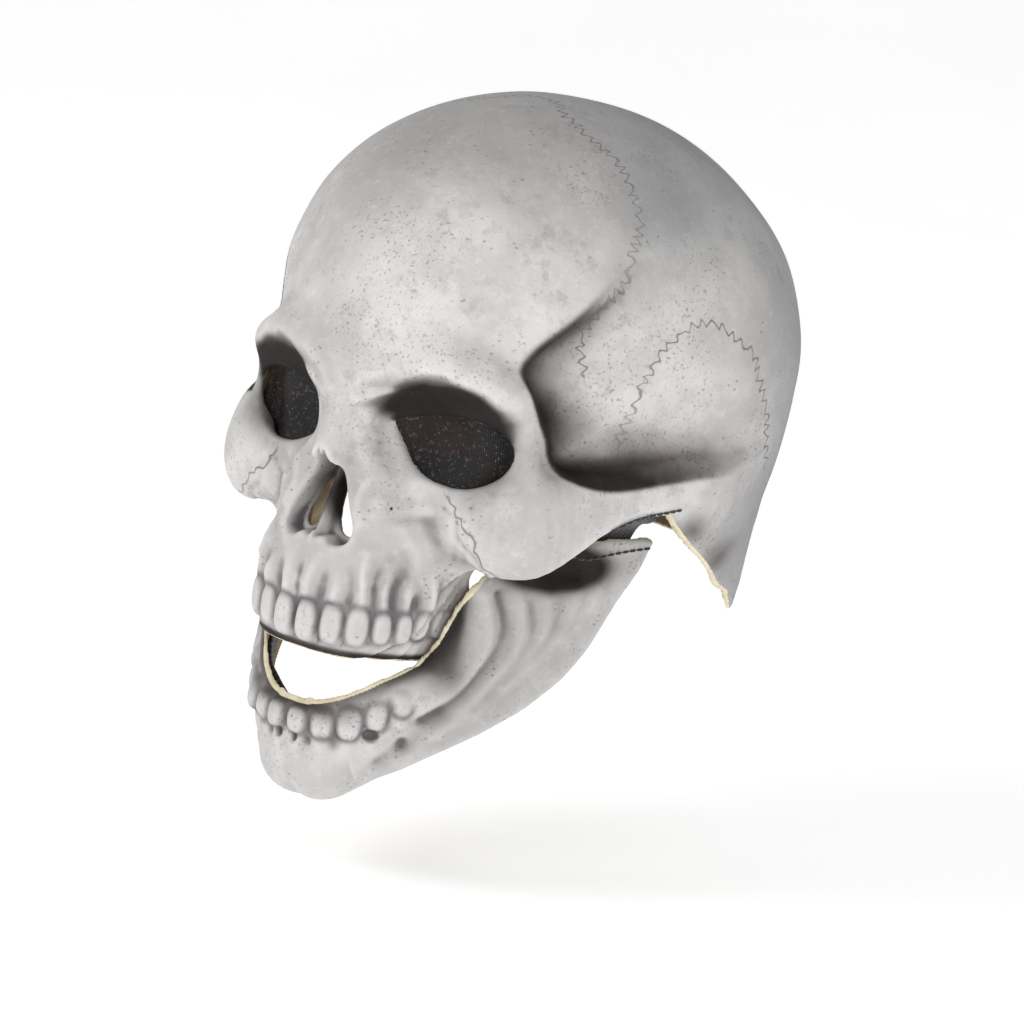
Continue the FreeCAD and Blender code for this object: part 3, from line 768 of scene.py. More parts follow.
def woven(name, dark, light, pitch):
    """A woven band or cloth. The marks along and across are in millimetres."""
    n = Nodes(name)
    along, across, _ = n.parts("weave")
    u = n.math("MULTIPLY", along, math.pi / pitch)
    v = n.math("MULTIPLY", across, math.pi / pitch)
    threads = n.math("MULTIPLY", n.math("SINE", u), n.math("SINE", v))
    ribs = n.math("ABSOLUTE", n.math("SINE", v))
    height = n.math("ADD", n.math("MULTIPLY", threads, 0.5), n.math("MULTIPLY", ribs, 0.7))
    fuzz = n.noise(1400, 3)
    wear = n.noise(60, 4)
    # painted light and shade: the threads lighter where they stand up, darker between them
    colour = n.mix(n.between(height, -0.2, 1.1), dark, light)
    worn = tuple(c * 1.9 + 0.02 for c in light)
    colour = n.mix(n.between(wear, 0.45, 0.75, 0.0, 0.35), colour, worn)
    colour = n.mix(n.between(fuzz, 0.5, 0.8, 0.0, 0.3), colour, tuple(c * 0.5 for c in dark))
    normal = n.bump(n.math("ADD", height, n.math("MULTIPLY", fuzz, 0.3)), 0.8, 0.0004)
    return n.finish(colour, 0.85, normal, Sheen_Weight=0.3, Specular_IOR_Level=0.25)


GAUZE_PITCH = 0.75
EYE_X, EYE_Z = 38, 14.5


def eye_gauze():
    """Black gauze: crossed threads with a painted glint, and gaps painted near black, brown in places where
    light shows through from behind.
    """
    n = Nodes("eye_gauze")
    waves = []
    for distance, scale in zip(n.parts("weave"), (160, 140)):
        bent = n.math("MULTIPLY", n.noise(scale, 2), 2.2)
        wave = n.math("SINE", n.math("MULTIPLY_ADD", distance, math.pi / GAUZE_PITCH, bent))
        waves.append(n.math("ABSOLUTE", wave))
    thread = n.math("MAXIMUM", *waves)
    # the gaps are painted: near black for the shade behind, brown where light shows through
    through = n.between(n.noise(38, 2), 0.42, 0.62)
    gap = n.mix(through, (0.004, 0.003, 0.003), (0.055, 0.022, 0.014))
    colour = n.mix(n.between(thread, 0.55, 0.95), gap, (0.016, 0.014, 0.014))
    # a painted glint along the threads
    glint = n.math("MULTIPLY", n.between(thread, 0.9, 1.0), n.between(n.noise(700, 2), 0.55, 0.70))
    colour = n.mix(glint, colour, (0.16, 0.15, 0.15))
    return n.finish(colour, 0.55, n.bump(thread, 0.7, 0.0004), Specular_IOR_Level=0.35)


def foam(name, tone):
    """Open-celled foam."""
    n = Nodes(name)
    cells = n.add("TexVoronoi", 0, Vector=n.place(), Scale=620, Randomness=1.0)
    large = n.add("TexVoronoi", 0, Vector=n.place(), Scale=210, Randomness=1.0)
    shade = n.noise(35, 4)
    dark, light = tuple(c * 0.35 for c in tone), tuple(c * 1.35 for c in tone)
    colour = n.mix(n.between(shade, 0.3, 0.7), tuple(c * 0.8 for c in tone), light)
    # painted shade: the cells dark in their hollows
    colour = n.mix(n.between(cells, 0.15, 0.5, 0.0, 0.55), dark, colour)
    height = n.math("ADD", n.math("MULTIPLY", cells, 0.8), n.math("MULTIPLY", large, 0.8))
    return n.finish(colour, 0.95, n.bump(height, 0.9, 0.0009), Sheen_Weight=0.15, Specular_IOR_Level=0.15)


def raw_latex():
    """Brushed-on natural latex: cream to amber, a little shiny, with bubbles."""
    n = Nodes("raw_latex")
    colour = n.mix(n.between(n.noise(60, 5), 0.3, 0.7), (0.50, 0.36, 0.19), (0.74, 0.61, 0.40))
    drops = n.add("TexVoronoi", 0, Vector=n.place(), Scale=330, Randomness=1.0)
    colour = n.mix(n.between(drops, 0.05, 0.22, 0.45, 0.0), colour, (0.86, 0.76, 0.55))
    height = n.math("ADD", n.noise(120, 5), n.math("MULTIPLY", drops, 0.35))
    return n.finish(colour, n.between(n.noise(90, 3), 0.3, 0.7, 0.4, 0.6), n.bump(height, 0.6, 0.0012))


def thread_material():
    n = Nodes("thread")
    along, round_it, _ = n.parts("weave")
    twist = n.math("SINE", n.math("MULTIPLY_ADD", along, 7.0, round_it))
    # painted sheen: the twist in lighter and darker bands
    colour = n.mix(n.between(twist, -0.6, 0.9), (0.004, 0.004, 0.005), (0.028, 0.027, 0.030))
    return n.finish(colour, 0.5, n.bump(twist, 0.8, 0.0002), Sheen_Weight=0.3)


def tape_material(name, hooks):
    """The loop side is matted fluff, the hook side rows of stiff hooks."""
    n = Nodes(name)
    if hooks:
        dots = n.add("TexVoronoi", 0, {"distance": "CHEBYCHEV"}, Vector=n.place(), Scale=640, Randomness=0.15)
        height = n.between(dots, 0.12, 0.42, 1.0, 0.0)
        # painted light and shade: the hooks lighter on top, darker between them
        colour = n.mix(height, (0.008, 0.008, 0.009), (0.06, 0.06, 0.065))
        return n.finish(colour, 0.45, n.bump(height, 1.0, 0.0008))
    fluff = n.noise(900, 6, 0.7, distortion=2.5)
    # painted light and shade: the fluff lighter where it stands up, darker in its hollows
    colour = n.mix(n.between(fluff, 0.35, 0.7), (0.006, 0.006, 0.007), (0.055, 0.055, 0.06))
    return n.finish(colour, 0.95, n.bump(fluff, 1.0, 0.0009), Sheen_Weight=0.6)


BONE = bone_latex()
GAUZE = eye_gauze()
BAND = woven("glued_band", (0.02, 0.02, 0.021), (0.055, 0.055, 0.058), 0.9)
FOAM = foam("foam", (0.045, 0.045, 0.048))
CUP_FOAM = foam("chin_foam", (0.05, 0.05, 0.053))
ELASTIC = woven("elastic", (0.010, 0.010, 0.011), (0.045, 0.045, 0.05), 1.1)
WEBBING = woven("webbing", (0.008, 0.008, 0.009), (0.036, 0.036, 0.04), 1.6)
RAW = raw_latex()
THREAD = thread_material()
LOOPS = tape_material("loop_tape", False)
HOOKS = tape_material("hook_tape", True)


# ==== the latex shells ====

# The jagged joints between the skull's bones, and a crack: lines of points in space.
CORONAL = ((0, -27, 139), (20, -38, 135), (35, -43, 130), (46, -44, 126), (58, -46, 117), (67, -51, 107),
    (72, -57, 96), (74, -65, 83), (72, -71, 72), (70, -76, 62), (72, -74, 50))
SQUAMOSAL = ((82, -57, 24), (83, -56, 38), (85, -55, 52), (90, -50, 63), (94, -41, 71), (97, -31, 73),
    (100, -18, 67), (102, -6, 57), (102, 4, 45), (101, 11, 32), (98, 17, 18))
LAMBDOID = ((0, 78, 100), (22, 80, 88), (40, 79, 74), (56, 74, 58), (68, 66, 40), (78, 54, 22), (84, 44, 8))
CHEEK_CRACK = ((41, -104, -2), (45, -101, -9), (50, -96, -14), (53, -92, -20), (60, -86, -27))
BRAIN_MIDDLE = (0, -7, 45)
SKULL_RADIUS = 110


def nearest_tooth(q, row):
    """Distance from the outline of the nearest crown, as seen from in front of it."""
    best = np.full(q[0].shape, 30.0)
    for tooth in row:
        a, b, c = tooth_axes(q, tooth)
        radii = tooth[3]
        k = sum(np.abs(v / r) ** PEBBLE_POWER for v, r in ((a, radii[0]), (c, radii[2])))
        k = k ** (1 / PEBBLE_POWER)
        best = np.where(np.abs(b) < 9, np.minimum(best, (k - 1) * radii[0]), best)
    return best


def sunken(obj, normals, width):
    """How far each vertex lies below the surface smoothed over a width. Negative on ridges."""
    ends = np.empty(len(obj.data.edges) * 2, np.int32)
    obj.data.edges.foreach_get("vertices", ends)
    a, b = ends.reshape(-1, 2).T
    start = verts_of(obj)
    n = len(start)
    share = 0.5 / np.maximum(np.bincount(a, minlength=n) + np.bincount(b, minlength=n), 1)[:, None]
    verts = start
    for _ in range(int(4 * (width / VOXEL) ** 2)):
        around = [np.bincount(a, verts[b, i], n) + np.bincount(b, verts[a, i], n) for i in range(3)]
        verts = 0.5 * verts + share * np.stack(around, 1)
    return ((verts - start) * normals).sum(1)


def relax(verts, quads, weight):
    """Smooths vertices by their neighbours where weight is 1."""
    a = np.concatenate([quads[:, i] for i in range(4)])
    b = np.concatenate([quads[:, (i + 1) % 4] for i in range(4)])
    moving = (weight[a] > 0) | (weight[b] > 0)
    a, b = a[moving], b[moving]
    n = len(verts)
    share = 1 / np.maximum(np.bincount(a, minlength=n) + np.bincount(b, minlength=n), 1)[:, None]
    for _ in range(6):
        around = [np.bincount(a, verts[b, i], n) + np.bincount(b, verts[a, i], n) for i in range(3)]
        verts = verts + 0.6 * weight[:, None] * (share * np.stack(around, 1) - verts)
    return verts


def glow(v, spot, radii):
    """1 at a spot, fading out over radii."""
    return np.exp(-sum(((a - b) / r) ** 2 for a, b, r in zip(v, spot, radii)))


def mark_wall(obj, base, surface, rim, trim=1.1):
    """Marks what is outside, inside and cut edge, and how hollow or raised the outside is. The cream of the
    cut edge shows for a width trim beside the rim."""
    verts = verts_of(obj)
    normals = normals_of(obj)
    p = tuple(verts.T.astype(np.float32))
    ahead, behind = (base(tuple((verts + normals * t).T.astype(np.float32))) for t in (1.0, -1.0))
    facing = (ahead - behind) / 2
    deep = -surface(p)
    inside = smooth(0.5 - 1.5 * facing) * smooth((deep - 0.6) / 0.8)
    mark(obj, "inside", inside)
    near_rim = smooth((polygon(p[1], p[2], rim) + 2.4) / 1.2)
    cut = near_rim * smooth((0.8 - np.abs(facing)) / 0.3) * smooth((deep - 0.2) / 0.8)
    cut = np.maximum(cut, smooth((polygon(p[1], p[2], rim) + trim) / 0.5))
    mark(obj, "cut", cut)
    fine, broad = sunken(obj, normals, 1.8), sunken(obj, normals, 4.5)
    outside = (1 - inside) * (1 - cut)
    # how sunken the outside is: the material airbrushes it dark there and paints in the shade of the recesses
    hollow = 0.6 * np.clip(fine / 0.75, 0, 1) + 0.65 * np.clip(broad / 1.8, 0, 1)
    mark(obj, "hollow", hollow * outside)
    # how raised the outside is: ridges get drybrushed wear and a painted highlight
    mark(obj, "raised", np.clip(-fine / 0.5, 0, 1) * outside)
    return p, normals


def cranium():
    verts, quads = surface_of(head_wall, (-112, -138, -72), (112, 100, 148), VOXEL)
    verts = relax(verts, quads, smooth((polygon(verts[:, 1], verts[:, 2], HEAD_RIM) + 2.5) / 1.5))
    obj = make_mesh("cranium_skin", verts, quads, BONE)
    (x, y, z), normals = mark_wall(obj, head_base, head_surface, HEAD_RIM, 1.6)
    verts = np.stack([x, y, z], 1)
    q = (np.abs(x), y, z)
    line = curve_through(TEMPLE_LINE, 3)
    into = -polygon(y, z, np.concatenate([line, TEMPLE_REAR]))
    from_line = to_line(y, z, line)
    inward = np.where(into > 0, from_line, -from_line)
    along = smooth((100 - z) / 50) * (1 - smooth((y + 30) / 34)) * smooth((q[0] - 40) / 12)
    reach = np.interp(z, (18, 30, 45, 60, 80), (10.0, 17.0, 14.0, 9.0, 8.0))
    below_line = np.exp(-((np.maximum(inward, 0) / reach) ** 1.6))
    band = np.where(inward > 0, below_line, np.exp(-((inward / 1.6) ** 2)))
    black_paint_and_shade = (1.0 - 0.45 * smooth((y + 62) / 40)) * band * along
    # painted shade: the roofs over the eyes darken most where they face down, under the brow, on top of their
    # black paint
    overhang = smooth(-1.6 * normals[:, 2] + 0.1)
    black_paint_and_shade += 1.9 * overhang * glow(q, (37, -106, 29), (27, 17, 12))  # roofs over the eyes
    black_paint_and_shade += 1.2 * glow(q, (38, -96, 14), (24, 9, 15))  # sockets
    black_paint_and_shade += 1.3 * glow(q, (0, -112, -10), (11, 9.5, 13))  # inside the nose
    black_paint_and_shade += 0.6 * glow(q, (23.5, -110, -9), (3.4, 6, 2.0))
    black_paint_and_shade += 0.75 * glow(q, (91, -24, -4), (10, 11, 9))  # behind the arch
    black_paint_and_shade += 0.65 * glow(q, (89, 2, -17), (10, 14, 9))
    black_paint_and_shade += 0.55 * glow(q, (40, -84, -42), (9, 9, 16))  # under the cheekbones
    black_paint_and_shade += 1.0 * smooth((-61.5 - z) / 3) * (y < -76)  # the strip below the teeth
    mark(obj, "black_paint_and_shade", black_paint_and_shade)
    outline = nearest_tooth(q, UPPER_TEETH)
    below = smooth((z + 61) / 4)
    mark(obj, "tooth_line", np.exp(-((outline / 0.8) ** 2)) * (z < -40) * (0.35 + 0.65 * below))
    # painted shade: the top and back of the head darker, as they lie away from the lamps, with a few broader
    # patches of it
    painted_shade = 0.62 * smooth((y + 45) / 90) + 0.32 * smooth((z - 95) / 45) * smooth((y + 100) / 60)
    painted_shade += 0.30 * glow(q, (18, -80, 116), (26, 26, 16)) + 0.28 * glow(q, (70, -30, 112), (30, 26, 22))
    painted_shade += 0.34 * glow(q, (70, -44, 90), (22, 24, 24)) + 0.2 * glow(q, (86, 0, -12), (14, 30, 20))
    mark(obj, "painted_shade", np.clip(painted_shade, 0, 0.7))
    mark(obj, "coronal", along_seam(verts, mirrored_line(CORONAL), BRAIN_MIDDLE))
    both = np.stack([np.abs(verts[:, 0]), verts[:, 1], verts[:, 2]], 1)
    mark(obj, "squamosal", along_seam(both, SQUAMOSAL, BRAIN_MIDDLE))
    mark(obj, "lambdoid", along_seam(verts, mirrored_line(LAMBDOID), BRAIN_MIDDLE))
    mark(obj, "cheek_crack", along_seam(both, CHEEK_CRACK, (30, -60, -10)))
    stand_in(obj, "cranium_shell", "cranium")


def mirrored_line(points):
    """A line that starts on the middle plane, carried on to the other side."""
    return tuple((-x, y, z) for x, y, z in reversed(points[1:])) + tuple(points)


def jaw():
    verts, quads = surface_of(jaw_wall, (-88, -132, -138), (88, 8, 2), VOXEL * 0.9)
    verts = relax(verts, quads, smooth((polygon(verts[:, 1], verts[:, 2], JAW_RIM) + 2.5) / 1.5))
    obj = make_mesh("jaw_skin", verts, quads, BONE)
    (x, y, z), _ = mark_wall(obj, jaw_base, jaw_surface, JAW_RIM)
    q = (np.abs(x), y, z)
    black_paint_and_shade = 3.0 * glow(q, (60, -57, -26), (14, 22, 7.5))  # the notch below the cheekbone
    upper = to_line(y, z, ((-121, -85), (-108, -73), (-98, -64), (-94, -56), (-90, -44), (-86, -35)))
    black_paint_and_shade += 0.8 * np.exp(-((upper / 5.5) ** 2)) * smooth((-y - 84) / 4)
    black_paint_and_shade += 0.55 * glow(q, (46, -88, -52), (9, 5, 18))
    black_paint_and_shade += 0.4 * glow(q, (44, -92, -66), (9, 8, 9))
    for line, width, height in JAW_WELTS:
        if height < 0:
            near = np.exp(-((to_line(y, z, curve_through(line, 3)) / width) ** 2))
            black_paint_and_shade += -0.16 * height * near * (q[0] > 22)
    black_paint_and_shade += 0.26 * glow(q, (27.8, -105, -94.2), (4.4, 6, 3.2))
    black_paint_and_shade += 0.26 * glow(q, (35.5, -96, -97.5), (3.8, 6, 4.8))
    mark(obj, "black_paint_and_shade", black_paint_and_shade)
    outline = nearest_tooth(q, LOWER_TEETH)
    mark(obj, "tooth_line", 0.8 * np.exp(-((outline / 1.0) ** 2)) * smooth((-78 - z) / 6))
    # painted shade: the jaw a little greyer all over, and more towards its back
    mark(obj, "painted_shade", 0.1 + 0.15 * smooth((y + 60) / 60))
    for name in ("coronal", "squamosal", "lambdoid", "cheek_crack"):
        mark(obj, name, np.full((len(verts), 3), 99.0))
    stand_in(obj, "jaw_shell", "jaw")


# ==== sheets, pads and bands ====


def depth_at(field, axis, towards, other, level):
    """Where straight lines cross a field's level. They run along an axis, outwards from the middle in the
    direction `towards`, and `other` gives their two other coordinates in order."""
    count = len(other[0])
    near = np.full(count, 20.0)
    far = np.full(count, 150.0)
    for _ in range(HALVINGS):
        middle = (near + far) / 2
        p = [None, None, None]
        p[axis] = middle * towards
        rest = [i for i in range(3) if i != axis]
        p[rest[0]], p[rest[1]] = other
        inside = field(tuple(np.asarray(c, np.float32) for c in p)) < level
        near = np.where(inside, middle, near)
        far = np.where(inside, far, middle)
    p[axis] = near * towards
    return np.stack(p, 1)


def wall_normals(field, verts):
    """The way out of a field at each point."""
    out = np.zeros(verts.shape)
    for i in range(3):
        step = np.zeros(3)
        step[i] = 0.6
        ahead, behind = (verts + step).astype(np.float32), (verts - step).astype(np.float32)
        out[:, i] = field(tuple(ahead.T)) - field(tuple(behind.T))
    return out / np.linalg.norm(out, axis=1, keepdims=True)


def grid_quads(rows, columns, closed_columns=False):
    """Quads of a grid of vertices."""
    across = columns if closed_columns else columns - 1
    i, j = np.meshgrid(np.arange(rows - 1), np.arange(across), indexing="ij")
    i, j = i.ravel(), j.ravel()
    k = (j + 1) % columns
    return np.stack([i * columns + j, i * columns + k, (i + 1) * columns + k, (i + 1) * columns + j], 1)


def closed_sheet(front, back, rows, columns):
    """A closed thin form from two matching grids of points."""
    quads = grid_quads(rows, columns)
    count = rows * columns
    border = np.concatenate([
        np.arange(columns), np.arange(1, rows) * columns + columns - 1,
        np.arange(columns - 2, -1, -1) + (rows - 1) * columns, np.arange(rows - 2, 0, -1) * columns])
    after = np.roll(border, -1)
    rim = np.stack([border, border + count, after + count, after], 1)
    faces = np.concatenate([quads[:, ::-1], quads + count, rim[:, ::-1]])
    return np.concatenate([front, back]), faces


def squircle(rows, columns):
    """A grid of points that fills a disc, -1 to 1."""
    u, v = np.meshgrid(np.linspace(-1, 1, rows), np.linspace(-1, 1, columns), indexing="ij")
    u, v = u.ravel(), v.ravel()
    return u * np.sqrt(1 - v * v / 2), v * np.sqrt(1 - u * u / 2)


def gauze(name, side):
    """The gauze behind an eye, domed a little by the socket behind it, with its threads in relief."""
    size = 150
    u, v = squircle(size, size)
    x, z = side * (EYE_X + 28 * u), EYE_Z + 18.5 * v
    wall = depth_at(head_base, 1, -1, (x, z), -(SKIN + 0.55))
    wall[:, 1] += 1.2 * (1 - u * u - v * v)
    weave = np.sin(x * math.pi / GAUZE_PITCH) * np.sin(z * math.pi / GAUZE_PITCH) * 0.16
    front = wall + np.stack([0 * weave, -weave, 0 * weave], 1)
    back = wall + (0, 0.6, 0)
    verts, faces = closed_sheet(front, back, size, size)
    if side < 0:
        faces = faces[:, ::-1]
    obj = make_mesh(name, verts, faces, GAUZE)
    mark(obj, "weave", np.stack([verts[:, 0], verts[:, 2], 0 * verts[:, 0]], 1))
    stand_in(obj, name.replace("gauze", "mesh"), "cranium")


def gauze_band(node, side):
    """The band glued round a gauze on the inside: a flat ring with soft edges and a few puckers."""
    turns, rings = 120, 9
    t = np.linspace(0, 2 * math.pi, turns, endpoint=False)
    rows = []
    for i in range(rings):
        share = i / (rings - 1)
        grow = 1.5 + 7.5 * share
        x = side * (EYE_X + (22 + grow) * np.cos(t))
        z = EYE_Z + (12.5 + grow) * np.sin(t)
        pucker = 0.25 * np.sin(17 * t + 3 * share) * np.sin(math.pi * share)
        ends = [math.sin(math.pi * min(1, part * 4 + 0.05) / 2) for part in (share, 1 - share)]
        rows.append((x, z, pucker, ends[0] * ends[1]))
    outer, inner, marks = [], [], []
    for i, (x, z, pucker, full) in enumerate(rows):
        wall = depth_at(head_base, 1, -1, (x, z), -(SKIN + 1.3))
        outer.append(wall)
        inner.append(wall + np.stack([0 * x, 0.25 + 0.85 * full + pucker * 0.5, 0 * x], 1))
        marks.append(np.stack([t * 30, np.full(turns, i * 1.0), 0 * t], 1))
    verts = np.concatenate(outer + inner[::-1])
    faces = grid_quads(2 * rings, turns, True)
    here = np.arange(turns)
    after = (here + 1) % turns
    final = (2 * rings - 1) * turns
    faces = np.concatenate([faces, np.stack([here + final, after + final, after, here], 1)])
    if side < 0:
        faces = faces[:, ::-1]
    obj = make_mesh(node.replace("mesh", "gauze"), verts, faces, BAND)
    mark(obj, "weave", np.concatenate(marks + marks[::-1]))
    stand_in(obj, node, "cranium")


def pad(node, axis, towards, middle, half, thick, level=SKIN + GLUE, field=head_base, body="cranium",
        material=FOAM):
    """A soft pad glued to the inside of a wall: crowned, with pulled-in edges."""
    size = 41
    u, v = squircle(size, size)
    bow = 1 - 0.04 * np.cos(4 * np.arctan2(v, u))
    a, b = middle[0] + half[0] * u * bow, middle[1] + half[1] * v * bow
    wall = depth_at(field, axis, towards, (a, b), -level)
    way = wall_normals(field, wall)
    edge = np.minimum(u * u + v * v, 1)
    full = np.sqrt(np.clip(1 - edge**4, 0, 1))
    dents = 0.35 * rolling(wall[:, 0], wall[:, 1], wall[:, 2], 7)
    front = wall - way * (0.9 * (1 - full))[:, None]
    back = wall - way * (1.2 + (thick - 1.2) * full * (0.86 + 0.14 * (1 - edge)) + dents * full)[:, None]
    verts, faces = closed_sheet(front, back, size, size)
    obj = make_mesh(node + ("_latex" if material is RAW else "_foam"), verts, faces, material)
    fix_winding(obj)
    stand_in(obj, node, body)


def fix_winding(obj):
    """Turns every face outwards."""
    form = bmesh.new()
    form.from_mesh(obj.data)
    bmesh.ops.recalc_face_normals(form, faces=form.faces)
    form.to_mesh(obj.data)
    form.free()


def crown_pad():
    """The flat-bottomed pad that carries the mask's weight."""
    size = 49
    u, v = squircle(size, size)
    x, y = 39.5 * u, CY + 39.5 * v
    top = depth_at(head_base, 2, 1, (x, y), -(SKIN + GLUE))
    edge = np.minimum(u * u + v * v, 1)
    full = np.sqrt(np.clip(1 - edge**5, 0, 1))
    top[:, 2] -= 1.0 * (1 - full)
    bottom = np.stack([x, y, 123.4 + 3.0 * (1 - full) + 0.2 * rolling(x, y, x, 6)], 1)
    bottom[:, 2] = np.minimum(bottom[:, 2], top[:, 2] - 0.8)
    verts, faces = closed_sheet(top, bottom, size, size)
    obj = make_mesh("crown_pad_foam", verts, faces, FOAM)
    fix_winding(obj)
    stand_in(obj, "crown_pad", "cranium")


def band(name, line, across, width, thick, material, ripple=0.15):
    """A flat woven band swept along a line of points. across gives the way its width runs at each point."""
    line = np.asarray(line, float)
    width = np.broadcast_to(np.asarray(width, float), len(line))
    across = np.broadcast_to(np.asarray(across, float), line.shape)
    across = across / np.linalg.norm(across, axis=1, keepdims=True)
    ahead = np.gradient(line, axis=0)
    ahead /= np.linalg.norm(ahead, axis=1, keepdims=True)
    out = np.cross(ahead, across)
    out /= np.linalg.norm(out, axis=1, keepdims=True)
    ribs = max(12, int(width.max() / 0.8))
    share = np.linspace(-1, 1, ribs)
    body = np.minimum(1, np.sqrt(np.clip(1 - share**12, 0, 1)) + 0.15)
    selvedge = 1 + 0.25 * np.exp(-(((np.abs(share) - 0.94) / 0.05) ** 2))
    rib = 1 + 0.10 * np.cos(share * ribs * math.pi / 2)
    half = thick / 2 * body * selvedge * rib
    travelled = np.concatenate([[0], np.cumsum(np.linalg.norm(np.diff(line, axis=0), axis=1))])
    verts, marks = [], []
    for i, (at, side, way) in enumerate(zip(line, across, out)):
        sway = ripple * math.sin(travelled[i] / 5.3) + ripple * 0.6 * math.sin(travelled[i] / 2.1 + 1)
        ring_side = np.concatenate([share, share[::-1]]) * width[i] / 2
        ring_out = np.concatenate([half, -half[::-1]]) + sway
        verts.append(at + ring_side[:, None] * side + ring_out[:, None] * way)
        marks.append(np.stack([np.full(2 * ribs, travelled[i]), ring_side, 0 * ring_side], 1))
    columns = 2 * ribs
    faces = [tuple(q) for q in grid_quads(len(line), columns, True)]
    for start, turn in ((0, 1), ((len(line) - 1) * columns, -1)):
        end = start + columns
        cap = [(start + j, start + j + 1, end - 2 - j, end - 1 - j) for j in range(ribs - 1)]
        faces += [face[::turn] for face in cap]
    obj = make_mesh(name, np.concatenate(verts), faces, material)
    mark(obj, "weave", np.concatenate(marks))
    fix_winding(obj)
    return obj


def resample(points, step):
    """Evenly spaced points along a smooth line."""
    line = curve_through(points, 12)
    travelled = np.concatenate([[0], np.cumsum(np.linalg.norm(np.diff(line, axis=0), axis=1))])
    wanted = np.linspace(0, travelled[-1], max(3, int(travelled[-1] / step)))
    return np.stack([np.interp(wanted, travelled, line[:, i]) for i in range(3)], 1)


def jaw_elastic(node, side):
    """Flat elastic, sewn to the inside of the arch, folded in over the jaw's top edge and sewn inside it."""
    places = ((80, -47, 8), (79.5, -46, 1), (76, -43, -4.5), (68, -35, -8), (64.3, -30, -12),
        (63.5, -28.5, -18), (63.4, -28.5, -24))
    line = resample([(side * x, y, z) for x, y, z in places], 0.9)
    width = np.interp(line[:, 2], (-16, -2), (20, 36))
    obj = band(node + "_woven", line, (side * 0.3, 1, 0), width, 1.2, ELASTIC, 0.12)
    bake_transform(obj)
    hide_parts(node)


def stitched_row(name, spots, outs, body, node):
    """Waxed thread: stitches that stand proud between their holes, with a whip over each."""
    spots, outs = np.asarray(spots, float), np.asarray(outs, float)
    verts, faces, marks = [], [], []

    def cord(points, radius):
        points = np.asarray(points, float)
        ahead = np.gradient(points, axis=0)
        ahead /= np.linalg.norm(ahead, axis=1, keepdims=True)
        side = np.cross(ahead, (0.31, 0.2, 0.93))
        side /= np.linalg.norm(side, axis=1, keepdims=True)
        other = np.cross(ahead, side)
        start = sum(len(v) for v in verts)
        sides = 8
        swell = np.sqrt(np.clip(np.sin(np.linspace(0.03, math.pi - 0.03, len(points))), 0.02, 1)) ** 0.5
        for i, (at, a, b) in enumerate(zip(points, side, other)):
            t = np.arange(sides) * 2 * math.pi / sides
            verts.append(at + radius * swell[i] * (np.cos(t)[:, None] * a + np.sin(t)[:, None] * b))
            marks.append(np.stack([np.full(sides, i * 0.5), t, 0 * t], 1))
        faces.extend((start + np.array(q)).tolist() for q in grid_quads(len(points), sides, True))
        faces.append([start + k for k in range(sides)][::-1])
        faces.append([start + (len(points) - 1) * sides + k for k in range(sides)])

    for i in range(len(spots) - 1):
        a, b, out = spots[i], spots[i + 1], outs[i]
        t = np.linspace(0.04, 0.96, 9)
        arc = a + (b - a) * t[:, None] + out * (0.75 * np.sin(math.pi * t) - 0.35)[:, None]
        cord(arc, 0.52)
    obj = make_mesh(name, np.concatenate(verts), faces, THREAD)
    mark(obj, "weave", np.concatenate(marks))
    fix_winding(obj)
    stand_in(obj, node, body)


def on_wall(field, side, spots):
    """Points of a side view carried out sideways onto a surface, and the ways out of it."""
    y, z = np.array(spots, float).T
    found = depth_at(field, 0, side, (y, z), 0.0)
    return found, wall_normals(field, found)


STRAP_HEIGHT = 4


def strap_line(radius, start, end):
    """An arc round the head's upright axis: angles run from the mask's left, over its back, to its right."""
    angles = np.radians(np.linspace(start, end, int(radius * math.radians(abs(end - start)) / 1.6)))
    z = STRAP_HEIGHT + 0 * angles
    return np.stack([radius * np.cos(angles), CY + radius * np.sin(angles), z], 1)


def latex_block(name, side, radius, node):
    """A brushed-on lump of latex that holds a strap's end to the skin."""
    u, v = squircle(25, 25)
    angle = np.radians(19 + 6.3 * u) if side > 0 else np.radians(161 + 6.3 * u)
    z = STRAP_HEIGHT + 9.6 * v
    inner = np.stack([radius * np.cos(angle), CY + radius * np.sin(angle), z], 1)
    way = np.stack([np.cos(angle), np.sin(angle), 0 * angle], 1)
    reach = np.zeros(len(inner))
    for _ in range(30):
        spot = (inner + way * reach[:, None]).astype(np.float32)
        reach += np.clip(-(head_base(tuple(spot.T)) + SKIN + GLUE), -1, 4) * 0.7
    edge = np.minimum(u * u + v * v, 1)
    lump = 0.5 * rolling(inner[:, 0], inner[:, 1], inner[:, 2], 3)
    outer = inner + way * reach[:, None]
    inner = inner + way * (0.15 + 1.6 * edge**3 + 0.3 * np.abs(lump))[:, None]
    verts, faces = closed_sheet(outer, inner, 25, 25)
    obj = make_mesh(name, verts, faces, RAW)
    fix_winding(obj)
    stand_in(obj, node, "cranium")


def strap(node, radius, start, end, width, thick, material, body="cranium"):
    """One layer of the strap round the back of the head."""
    obj = band(node + "_woven", strap_line(radius, start, end), (0, 0, 1), width, thick, material)
    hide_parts(node)
    if body == "both":
        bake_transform(obj)
    else:
        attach(obj, body)


